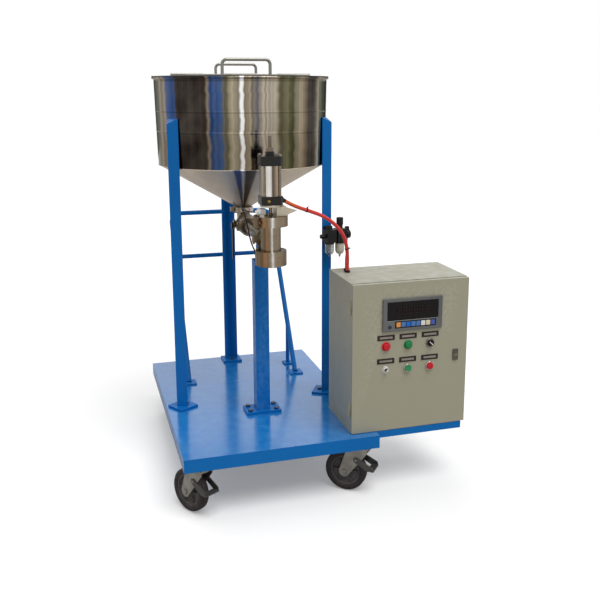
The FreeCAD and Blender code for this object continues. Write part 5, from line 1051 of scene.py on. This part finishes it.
@dataclass
class Uprights:
    """Angle legs, valve post and push handle, with their welds."""

    shop: Shop
    post: tuple[float, float] = (340.0, 340.0)
    post_side: float = 50.0
    post_base: float = 10.0
    rails: tuple[float, ...] = (119.0, 568.0)
    rail_y: float = 700.0
    rail_radius: float = 10.0
    rail_foot: float = 6.0

    def build(self) -> None:
        """Ease the legs and the post, keep the handle's tubes, and lay the weld beads."""
        for leg in ("leg_left", "leg_right", "leg_rear"):
            self.shop.softened(leg, Slot.BLUE, "blue_enamel", 1.4)
        self.shop.softened("valve_post", Slot.BLUE, "blue_enamel", 2.2)
        self.shop.coat("push_handle", "blue_enamel")
        half = self.post_side / 2 + 0.5
        x, y = self.post
        ring = [(x + a * half, y + b * half, self.post_base + 0.6)
                for a, b in ((-1, -1), (1, -1), (1, 1), (-1, 1), (-1, -1))]
        beads = [bead(ring)]
        for rail in self.rails:
            collar = hoop(self.rail_radius + 0.8, 1.8, 48)
            beads.append(at(rail, self.rail_y, self.rail_foot + 0.5).put(collar))
        self.shop.piece("upright_welds", beads, "machine", Slot.BLUE, "blue_enamel")


@dataclass
class Trolley:
    """Deck, frame and castors with rubber tyres."""

    shop: Shop
    inset_x: float = 58.0
    inset_y: float = 41.0
    width: float = 680.0
    depth: float = 990.0
    trail: float = 50.0
    floor_z: float = -220.0
    wheel_radius: float = 75.0
    tyre_half: float = 19.0
    rim_radius: float = 54.0
    ribs: int = 6
    headings: dict[str, float] = field(default_factory=lambda: {
        "front_left": -59.0, "front_right": -39.0, "rear_left": 196.0, "rear_right": -28.0})

    def castor(self, name: str) -> tuple[float, float]:
        """Plan place of a castor's kingpin."""
        side, hand = name.split("_")
        return (self.inset_x if hand == "left" else self.width - self.inset_x,
                self.inset_y if side == "front" else self.depth - self.inset_y)

    def wheel(self, name: str) -> None:
        """Tyre with a crowned, grooved tread, and a webbed hub with six ribs and a bearing cap each side."""
        heading = math.radians(self.headings[name])
        ahead = (math.cos(heading), math.sin(heading), 0.0)
        x, y = self.castor(name)
        place = at(x - self.trail * ahead[0], y - self.trail * ahead[1], self.floor_z + self.wheel_radius,
                   x=ahead, z=(-ahead[1], ahead[0], 0.0))
        outer, half, rim = self.wheel_radius, self.tyre_half, self.rim_radius
        tread = [(rim, -half + 3), (rim + 6, -half + 0.5), (outer - 6, -half), (outer - 1.2, -half + 5),
                 (outer - 0.3, -8.5), (outer - 1.9, -7.9), (outer - 1.9, -6.6), (outer - 0.1, -6), (outer, 0),
                 (outer - 0.1, 6), (outer - 1.9, 6.6), (outer - 1.9, 7.9), (outer - 0.3, 8.5),
                 (outer - 1.2, half - 5), (outer - 6, half), (rim + 6, half - 0.5), (rim, half - 3)]
        tyre = turned(tread, 1.6, 4, 96)
        body = f"{name}_wheel"
        self.shop.piece(f"tyre_{name}", [place.put(tyre)], body, Slot.RUBBER, "tyre_rubber",
                        (f"castor_wheel_{name}",), sharp=50.0)
        web = [(rim + 1, -half + 4), (rim - 5, -half + 4), (rim - 8, -7), (26, -5), (20, -half + 1),
               (6.4, -half + 1), (6.4, half - 1), (20, half - 1), (26, 5), (rim - 8, 7), (rim - 5, half - 4),
               (rim + 1, half - 4)]
        parts = [turned(web, 1.5, 4, 72)]
        rib = slab(26, 4, 9, 0.8, 0.8)
        for angle in np.arange(self.ribs) * TURN / self.ribs:
            across, up = math.cos(angle), math.sin(angle)
            for face in (-1.0, 1.0):
                middle = (0.033 * across, 0.033 * up, face * 0.003)
                parts.append(Place(middle, (across, up, 0.0), (0.0, 0.0, face)).put(rib))
        self.shop.piece(f"hub_{name}", [place.put(part) for part in parts], body, Slot.RUBBER, "hub_plastic")

    def build(self) -> None:
        """Ease the deck and dress the castors."""
        self.shop.softened("deck", Slot.BLUE, "deck_enamel", 1.6)
        # The under frame takes the darker enamel as painted shade under the deck.
        self.shop.coat("under_frame", "frame_enamel")
        self.shop.coat("castor_plates", "zinc")
        self.shop.coat("deck_bolts", "bolt_zinc")
        for name in self.headings:
            self.shop.softened(f"castor_fork_{name}", Slot.ZINC, "zinc", 0.8, f"{name}_swivel")
            self.wheel(name)
            if name.startswith("front"):
                self.shop.softened(f"castor_pedal_{name}", Slot.ZINC, "pedal_steel", 0.6, f"{name}_pedal")


@dataclass
class FillingHead:
    """Feed line, stop valve and the air-driven filling valve over its outlet."""

    shop: Shop
    x: float = 340.0
    y: float = 170.0
    low_head_z: float = 814.0
    low_head_half: float = 36.0

    def silencer(self) -> None:
        """Hexagon foot and sintered cap of the exhaust silencer in the lower head's front face."""
        place = at(self.x - 14.0, self.y - self.low_head_half + 0.4, self.low_head_z, **FRONT)
        foot = plug([(0, 0), (6.2, 0), (6.2, 4), (0, 4)], 0.5, 3, 6)
        cap = plug([(0, 3), (4.4, 3), (4.4, 11), (3.2, 13.5), (0, 13.8)], 0.9, 4, 32)
        self.shop.piece("exhaust_silencer", [place.put(foot), place.put(cap)], "machine", Slot.ZINC, "brass")

    def build(self) -> None:
        """Ease the turned and cast pieces and add the small fittings."""
        for node, slot, finish, edge in (
                ("feed_pipes", Slot.POLISHED, "polished_stainless", 0.5),
                ("outlet_valve_body", Slot.POLISHED, "polished_stainless", 0.6),
                ("line_clamps", Slot.POLISHED, "ring_steel", 0.7),
                ("filling_body", Slot.POLISHED, "body_steel", 0.7),
                ("outlet_nozzle", Slot.POLISHED, "ring_steel", 1.0),
                ("yoke", Slot.ANODISED, "anodised", 0.8),
                ("cylinder_heads", Slot.BLACK_METAL, "black_anodised", 1.2),
                ("cylinder_barrel", Slot.ANODISED, "barrel_steel", 0.4),
                ("tie_rods", Slot.ZINC, "rod_steel", 0.5),
                ("air_fittings", Slot.BLACK, "black_plastic", 0.5),
                ("position_sensor", Slot.WHITE, "white_plastic", 1.2)):
            self.shop.softened(node, slot, finish, edge)
        self.shop.softened("valve_plunger", Slot.POLISHED, "polished_stainless", 0.5, "plunger")
        self.shop.softened("outlet_lever", Slot.BLACK, "black_plastic", 1.0, "stop_valve")
        self.shop.coat("outlet_ball", "polished_stainless")
        self.silencer()


@dataclass
class AirUnit:
    """Filter with its clear bowl, lubricator with its cream bowl, and the regulator's knob."""

    shop: Shop
    origin: tuple[float, float, float] = (624.0, 439.7, 638.0)
    turn: float = 15.0
    shift: float = 12.0
    pitch: float = 23.0
    reach: float = 36.0
    half_height: float = 24.0
    bowl_radius: float = 17.0
    bowl_height: float = 48.0

    def place(self, along: float, up: float) -> Place:
        """Upright frame at a place in the unit's own turned frame."""
        c, s = math.cos(math.radians(self.turn)), math.sin(math.radians(self.turn))
        x, y, z = self.origin
        return at(x + along * c + self.reach * s, y + along * s - self.reach * c, z + up, x=(c, s, 0.0))

    def build(self) -> None:
        """Turn the bowls, core, drain and collars, and ease the bodies, the bracket and the fluted knob."""
        r, h = self.bowl_radius, self.bowl_height
        left, right = self.shift - self.pitch, self.shift + self.pitch
        shell = eased([(r - 2, 0), (r, 0), (r, -h + 12), (r - 3, -h + 3), (5, -h), (0, -h)], 3.0, 5,
                      ring=False)
        inner = eased([(0, -h + 2), (5, -h + 2), (r - 4.5, -h + 5), (r - 2, -h + 13), (r - 2, 0)], 2.5, 5,
                      ring=False)
        filter_top, oil_top = (self.place(along, -self.half_height) for along in (left, right))
        bowl = lathe(np.concatenate([shell, inner]), 48)
        self.shop.piece("filter_bowl", [filter_top.put(bowl)], "machine", Slot.BOWL, "clear_bowl",
                        ("unit_bowls",), sharp=50.0)
        full = plug([(0, 0), (r, 0), (r, -h + 12), (r - 4, -h + 1), (6, -h - 1), (4, -h - 4), (3.5, -h - 13),
                     (0, -h - 13)], 2.0, 4, 48)
        self.shop.piece("lubricator_bowl", [oil_top.put(full)], "machine", Slot.BOWL, "cream_plastic",
                        sharp=50.0)
        core = plug([(0, 0), (6, 0), (6, -22), (3, -30), (0, -30)], 1.0, 4, 32)
        drain = plug([(0, -h + 1), (4, -h + 1), (4, -h - 5), (2, -h - 8), (0, -h - 8)], 0.8, 4, 24)
        self.shop.piece("filter_core", [filter_top.put(core), filter_top.put(drain)], "machine", Slot.BLACK,
                        "grey_plastic")
        collar = turned([(r - 1.5, -7), (r + 2, -7), (r + 2, 0.5), (r - 1.5, 0.5)], 1.0, segments=48)
        self.shop.piece("bowl_collars", [filter_top.put(collar), oil_top.put(collar)], "machine", Slot.BLACK,
                        "black_plastic")
        for node, edge, body in (("unit_bodies", 2.2, "machine"), ("unit_bracket", 0.8, "machine"),
                                 ("regulator_knob", 1.6, "regulator")):
            self.shop.softened(node, Slot.BLACK, "black_plastic", edge, body)


class Control(Enum):
    """Places on the door of the six controls, from its lower left corner."""

    STOP = (122.0, 310.0)
    START = (204.0, 310.0)
    SELECTOR = (287.0, 310.0)
    TOGGLE = (122.0, 226.0)
    FILL = (204.0, 226.0)
    RESET = (287.0, 226.0)


@dataclass
class ControlBox:
    """Sheet metal box with its door, display, labels and controls."""

    shop: Shop
    x: float = 587.0
    y: float = 32.0
    label_rise: float = 31.0
    bezel_depth: float = 6.0
    display: tuple[float, float, float, float] = (107.0, 363.0, 221.0, 116.0)
    window: tuple[float, float] = (190.0, 65.0)
    window_rise: float = 39.0
    bezel_proud: float = 8.0
    key_pitch: float = 18.4
    key_rise: float = 23.5
    cap_radius: float = 12.2
    slant: tuple[float, float, float] = (-0.7, 0.7, 0.0)
    keys: tuple[str, ...] = ("key_orange", "key_steel", "key_blue", "key_steel", "key_steel", "key_white",
                             "key_cream", "key_violet")

    def on_door(self, x: float, z: float, proud: float = 0.0) -> Place:
        """Frame on the door's front: X to the right, Y up, Z out to the front."""
        return at(self.x + x, self.y - proud, z, **FRONT)

    def labels(self) -> None:
        """Bare pale strips in the black label plates."""
        strip = slab(47, 7.0, 0.8, 1.2, 0.3)
        strips = [self.on_door(c.value[0], c.value[1] + self.label_rise, 1.3).put(strip) for c in Control]
        self.shop.piece("label_strips", strips, "door", Slot.WHITE, "label_pale")

    def key_row(self) -> None:
        """Eight keys under the display window and the round key at its left end."""
        left, low, width, _ = self.display
        start, level, proud = left + width / 2 - 54.0, low + self.key_rise, self.bezel_proud - 0.3
        band = self.on_door(start + 64.0, level, self.bezel_proud - 0.4).put(slab(154.0, 25.0, 0.9, 1.4, 0.4))
        self.shop.piece("display_key_band", [band], "door", Slot.BLACK, "black_plastic")
        for number, finish in enumerate(self.keys):
            key = self.on_door(start + number * self.key_pitch, level,
                               proud).put(slab(15.6, 17, 1.9, 1.4, 0.7))
            self.shop.piece(f"display_key_{number + 1}", [key], "door", Slot.WHITE, finish)
        round_key = plug([(0, 0), (6.5, 0), (6.5, 1.6), (0, 1.9)], 0.6, 4, 40)
        self.shop.piece("display_round_key", [self.on_door(left + 25.0, low + 17.0, proud).put(round_key)],
                        "door", Slot.BLACK, "key_dark")

    def digits(self) -> None:
        """Six unlit seven-bar digits behind the display window's face."""
        left, low, width, _ = self.display
        bars = ((0, 11, 9, 2.2), (0, 0, 9, 2.2), (0, -11, 9, 2.2), (-5.6, 5.5, 2.2, 8.4),
                (5.6, 5.5, 2.2, 8.4), (-5.6, -5.5, 2.2, 8.4), (5.6, -5.5, 2.2, 8.4))
        middle = low + self.window_rise + self.window[1] / 2 + 2.0
        parts = []
        for number in range(6):
            x = left + width / 2 - 52.0 + number * 20.0
            for across, up, wide, tall in bars:
                place = self.on_door(x + across, middle + up, self.bezel_proud + 1.6)
                parts.append(place.put(slab(wide, tall, 0.5, 0.8, 0.2)))
        self.shop.piece("display_segments", parts, "door", Slot.WINDOW, "segment_dim")

    def button(self, control: Control, slot: Slot, finish: str, dish: float) -> None:
        """Push button: a cap with an eased rim, crowned or dished by a square of the radius."""
        share = np.linspace(1.0, 0.0, 9)
        top = self.bezel_depth + 4.6
        name = control.name.lower()
        face = np.stack([11.2 * share, top + dish * (1 - share**2)], axis=1)
        r = self.cap_radius
        foot = np.array([(0, -2), (r - 0.4, -2), (r, -1), (r, top - 2.2), (r - 0.3, top - 0.7)])
        cap = lathe(np.concatenate([foot, face]), 56, ring=False)
        self.shop.piece(f"{name}_cap", [self.on_door(*control.value).put(cap)], f"{name}_press", slot, finish,
                        (f"{name}_button",), sharp=50.0)

    def bezels(self) -> None:
        """Collars round the buttons and the selector, and the washer, nut and neck of the toggle."""
        ring = turned([(12.6, -0.3), (16, -0.3), (16, 3.2), (14.6, 5.8), (12.6, 5.8)], 1.0)
        washer = turned([(5.6, -0.3), (13.6, -0.3), (13.6, 1.0), (13.0, 1.5), (5.6, 1.5)], 0.3, 3, 56)
        nut = turned([(6.8, 1.2), (10.4, 1.2), (10.4, 4.0), (9.6, 4.8), (6.8, 4.8)], 0.4, 3, 6)
        neck = turned([(5.6, 0), (7.2, 0), (7.2, 5.9), (5.6, 5.9)], 0.4, 3, 40)
        for control, finish in ((Control.STOP, "button_red"), (Control.START, "button_green"),
                                (Control.FILL, "chrome"), (Control.RESET, "chrome")):
            self.shop.piece(f"{control.name.lower()}_collar", [self.on_door(*control.value).put(ring)],
                            "door", Slot.ZINC, finish)
        self.shop.piece("selector_collar", [self.on_door(*Control.SELECTOR.value).put(ring)], "door",
                        Slot.ZINC, "rod_steel", ("switch_bezels",))
        place = self.on_door(*Control.TOGGLE.value)
        self.shop.piece("toggle_nut", [place.put(part) for part in (washer, nut, neck)], "door", Slot.ZINC,
                        "chrome")

    def selector(self) -> None:
        """Knob with a ridge to turn it by, aslant at rest, and the white line along the ridge."""
        knob = self.on_door(*Control.SELECTOR.value)
        base = plug([(0, -1), (11.8, -1), (11.8, 7.0), (0, 7.0)], 0.8, 4, 56)
        ridge = Place((0.0, 0.0, 0.006), self.slant).put(slab(22.6, 7.4, 9.1, 2.4, 1.0))
        line = Place((0.0, 0.0, 0.015), self.slant).put(slab(19.0, 2.4, 0.4, 0.6, 0.15))
        self.shop.piece("selector_grip", [knob.put(base), knob.put(ridge)], "selector", Slot.BLACK,
                        "black_plastic", ("selector_knob",))
        self.shop.piece("selector_pointer", [knob.put(line)], "selector", Slot.WHITE, "white_plastic")

    def build(self) -> None:
        """Ease the box and door and dress what stands on them."""
        for node, slot, finish, edge, body in (
                ("box_body", Slot.CABINET, "cabinet_paint", 1.4, "machine"),
                ("box_door", Slot.CABINET, "cabinet_paint", 2.6, "door"),
                ("display_bezel", Slot.GREY, "bezel_grey", 2.0, "door"),
                ("display_window", Slot.WINDOW, "display_glass", 0.6, "door"),
                ("label_plates", Slot.BLACK, "label_black", 0.5, "door"),
                ("lock_plate", Slot.DARK, "dark_paint", 1.2, "door"),
                ("door_lock", Slot.ZINC, "rod_steel", 0.8, "lock"),
                ("toggle_lever", Slot.ZINC, "chrome", 0.4, "toggle")):
            self.shop.softened(node, slot, finish, edge, body)
        self.labels()
        self.bezels()
        self.key_row()
        self.digits()
        self.button(Control.STOP, Slot.RED, "button_red", 1.2)
        self.button(Control.START, Slot.GREEN, "button_green", 1.2)
        self.button(Control.FILL, Slot.GREEN, "button_pale_green", -1.0)
        self.button(Control.RESET, Slot.RED, "button_red", 1.0)
        self.selector()


@dataclass
class ControlGear:
    """Mounting panel in the box, with power supply, relays, breaker, air valves and terminals.

    Each device is (x, z, width, depth, height) in millimetres from the box's lower left corner.
    """

    shop: Shop
    x: float = 587.0
    face: float = 276.5
    plate: tuple[float, float] = (380.0, 486.0)
    plate_thick: float = 2.0
    middle: tuple[float, float] = (215.0, 268.0)
    standoff: float = 12.0
    supply: tuple[float, ...] = (55.0, 330.0, 110.0, 60.0, 130.0)
    relays: tuple[float, ...] = (190.0, 350.0, 150.0, 45.0, 80.0)
    terminals: tuple[float, ...] = (60.0, 70.0, 280.0, 40.0, 45.0)
    valves: tuple[float, ...] = (70.0, 170.0, 90.0, 50.0, 110.0)
    breaker: tuple[float, ...] = (220.0, 190.0, 54.0, 65.0, 85.0)

    def modules(self, name: str, box: tuple[float, ...], count: int, finish: str, depth: float = 1.0,
                height: float = 1.0, rise: float = 0.5, width: float = 0.95) -> None:
        """Row of equal modules in a device's box.

        Args:
            name: the piece's name.
            box: the device's box.
            count: how many stand side by side.
            finish: name of the finish.
            depth: share of the box's depth.
            height: share of its height.
            rise: where the modules' middle is, as a share of the height.
            width: share of each pitch that a module fills.
        """
        x, z, wide, deep, tall = box
        pitch = wide / count
        body = slab(width * pitch, height * tall, depth * deep, 1.2, 0.9)
        parts = [at(self.x + x + (n + 0.5) * pitch, self.face, z + rise * tall, **FRONT).put(body)
                 for n in range(count)]
        self.shop.piece(name, parts, "machine", Slot.DARK, finish)

    def build(self) -> None:
        """Plate on its four posts, then the devices."""
        x, z = self.middle
        back = self.face + self.plate_thick
        parts = [at(self.x + x, back, z, **FRONT).put(slab(*self.plate, self.plate_thick, 3.0, 0.5))]
        post = plug([(0, 0), (5, 0), (5, self.standoff), (0, self.standoff)], 0.4, 3, 24)
        for side in (-1, 1):
            for level in (-1, 1):
                across, up = side * (self.plate[0] / 2 - 12.0), level * (self.plate[1] / 2 - 12.0)
                foot = at(self.x + x + across, back + self.standoff - 0.3, z + up, **FRONT)
                parts.append(foot.put(post))
        self.shop.piece("panel_plate", parts, "machine", Slot.DARK, "zinc", ("control_gear",))
        for row in (("supply_case", self.supply, 1, "bezel_grey", 0.97, 1.0, 0.5, 1.0),
                    ("supply_vents", self.supply, 14, "black_plastic", 0.985, 0.45, 0.6, 0.4),
                    ("supply_terminals", self.supply, 7, "black_plastic", 1.0, 0.14, 0.12, 0.8),
                    ("relay_sockets", self.relays, 5, "gear_blue", 0.55),
                    ("relay_cases", self.relays, 5, "cream_plastic", 1.0, 0.5, 0.5, 0.78),
                    ("terminal_blocks", self.terminals, 20, "grey_plastic", 0.75, 1.0, 0.5, 0.86),
                    ("terminal_noses", self.terminals, 20, "cream_plastic", 1.0, 0.34, 0.5, 0.6),
                    ("valve_base", self.valves, 1, "black_plastic", 0.4, 1.0, 0.5, 1.0),
                    ("valve_bodies", self.valves, 3, "grey_plastic", 0.84, 0.84, 0.46, 0.85),
                    ("valve_coils", self.valves, 3, "black_plastic", 1.0, 0.3, 0.78, 0.7),
                    ("breaker_cases", self.breaker, 3, "white_plastic", 0.78, 1.0, 0.5, 0.97),
                    ("breaker_noses", self.breaker, 3, "white_plastic", 0.9, 0.5, 0.5, 0.97),
                    ("breaker_levers", self.breaker, 3, "key_blue", 1.0, 0.16, 0.56, 0.5)):
            self.modules(*row)


@dataclass
class Studio:
    """Camera, lamps, white ground and sky."""

    place: tuple[float, float, float] = (-0.78924, -2.98784, 1.39572)
    tilt: float = 77.87
    heading: float = -16.83
    lens: float = 48.306
    shift: tuple[float, float] = (-0.0253, -0.0627)
    sky: float = 0.42
    key: float = 1.95
    back: float = 0.85
    hall: Colour = (70, 78, 62)
    ground: Colour = (198, 195, 190)

    def camera(self) -> None:
        """Camera at the photograph's place."""
        data = bpy.data.cameras.new("camera")
        data.lens, data.shift_x, data.shift_y = self.lens, *self.shift
        data.clip_end = 60.0
        camera = linked("camera", data)
        camera.location = self.place
        camera.rotation_euler = (math.radians(self.tilt), 0.0, math.radians(self.heading))
        bpy.context.scene.camera = camera

    def seen(self, net: Net) -> Port:
        """1 for rays from the camera or off gloss or through glass, 0 for light on the machine."""
        path = net.node("ShaderNodeLightPath")
        either = net.sum("MAXIMUM", (path, "Is Camera Ray"), (path, "Is Glossy Ray"))
        return net.sum("MAXIMUM", either, (path, "Is Transmission Ray"))

    def hall_share(self, net: Net) -> Port:
        """How much of the dim hall behind the machine a glossy ray sees: most straight ahead and low down."""
        ray = net.node("ShaderNodeTexCoord")
        along = net.node("ShaderNodeVectorMath", operation="DOT_PRODUCT")
        net.join((ray, "Generated"), (along, 0))
        heading = math.radians(self.heading)
        net.join((-math.sin(heading), math.cos(heading), 0.0), (along, 1))
        parts = net.node("ShaderNodeSeparateXYZ")
        net.join((ray, "Generated"), (parts, "Vector"))
        ahead = net.span((along, "Value"), 0.5, 0.92)
        low = net.span((parts, "Z"), 0.08, 0.3, 1.0, 0.0)
        path = net.node("ShaderNodeLightPath")
        return net.sum("MULTIPLY", net.sum("MULTIPLY", ahead, low), (path, "Is Glossy Ray"))

    def world(self) -> None:
        """White where it is seen, dim behind the machine in reflections, and plain where it lights it."""
        world = bpy.data.worlds.new("studio")
        bpy.context.scene.world = world
        world.use_nodes = True
        world.node_tree.nodes.clear()
        net = Net(world.node_tree)
        back = net.node("ShaderNodeBackground")
        net.join(net.mix((1.0, 1.0, 1.0, 1.0), linear(self.hall), self.hall_share(net)), (back, "Color"))
        net.join(net.span(self.seen(net), 0.0, 1.0, self.sky, 1.0), (back, "Strength"))
        net.join((back, "Background"), (net.node("ShaderNodeOutputWorld"), "Surface"))

    def floor(self) -> None:
        """White floor that keeps the machine's shadow."""
        half = 14.0
        points = np.array([(-half, -half, 0.0), (half, -half, 0.0), (half, half, 0.0), (-half, half, 0.0)])
        mesh = bpy.data.meshes.new("floor")
        mesh.from_pydata(points.tolist(), [], [(0, 1, 2, 3)])
        floor = linked("floor", mesh)
        material, net = bare_material("floor_paper")
        paper = net.node("ShaderNodeBsdfDiffuse")
        path = net.node("ShaderNodeLightPath")
        net.join(net.mix(linear(self.ground), (0.77, 0.77, 0.77, 1.0), (path, "Is Camera Ray")),
                 (paper, "Color"))
        lift = net.node("ShaderNodeEmission")
        net.join(net.span((path, "Is Camera Ray"), 0.0, 1.0, 0.0, 0.22), (lift, "Strength"))
        add = net.node("ShaderNodeAddShader")
        net.join((paper, "BSDF"), (add, 0))
        net.join((lift, "Emission"), (add, 1))
        net.join((add, "Shader"), (net.node("ShaderNodeOutputMaterial"), "Surface"))
        mesh.materials.append(material)

    def lamp(self, name: str, energy: float, spread: float, source: tuple[float, float, float]) -> None:
        """Soft sun that shines from a direction."""
        data = bpy.data.lights.new(name, "SUN")
        data.energy, data.angle = energy, math.radians(spread)
        linked(name, data).rotation_euler = Vector(source).to_track_quat("Z", "Y").to_euler()

    def lamps(self) -> None:
        """Key from the front, a little to the right, and a weaker one from behind."""
        self.lamp("key", self.key, 40.0, (0.16, -0.42, 0.88))
        self.lamp("back", self.back, 60.0, (-0.16, 0.5, 0.84))

    def build(self) -> None:
        """Set up the studio."""
        self.camera()
        self.world()
        self.floor()
        self.lamps()
        bpy.context.scene.view_settings.view_transform = "Standard"


def main() -> None:
    """Build the studio, the lines and every sub-assembly, and warn of nodes left without a finish."""
    logging.basicConfig(level=logging.WARNING)
    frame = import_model()
    Studio().build()
    shop = Shop(frame, Finishes())
    for assembly in (Lines, Hopper, Uprights, Trolley, FillingHead, AirUnit, ControlBox, ControlGear):
        assembly(shop).build()
        LOG.info("finished %s", assembly.__name__)
    bare = sorted(set(frame["nodes"]) - shop.dressed)
    if bare:
        LOG.warning("nodes without a finish: %s", bare)


if __name__ == "__main__":
    main()
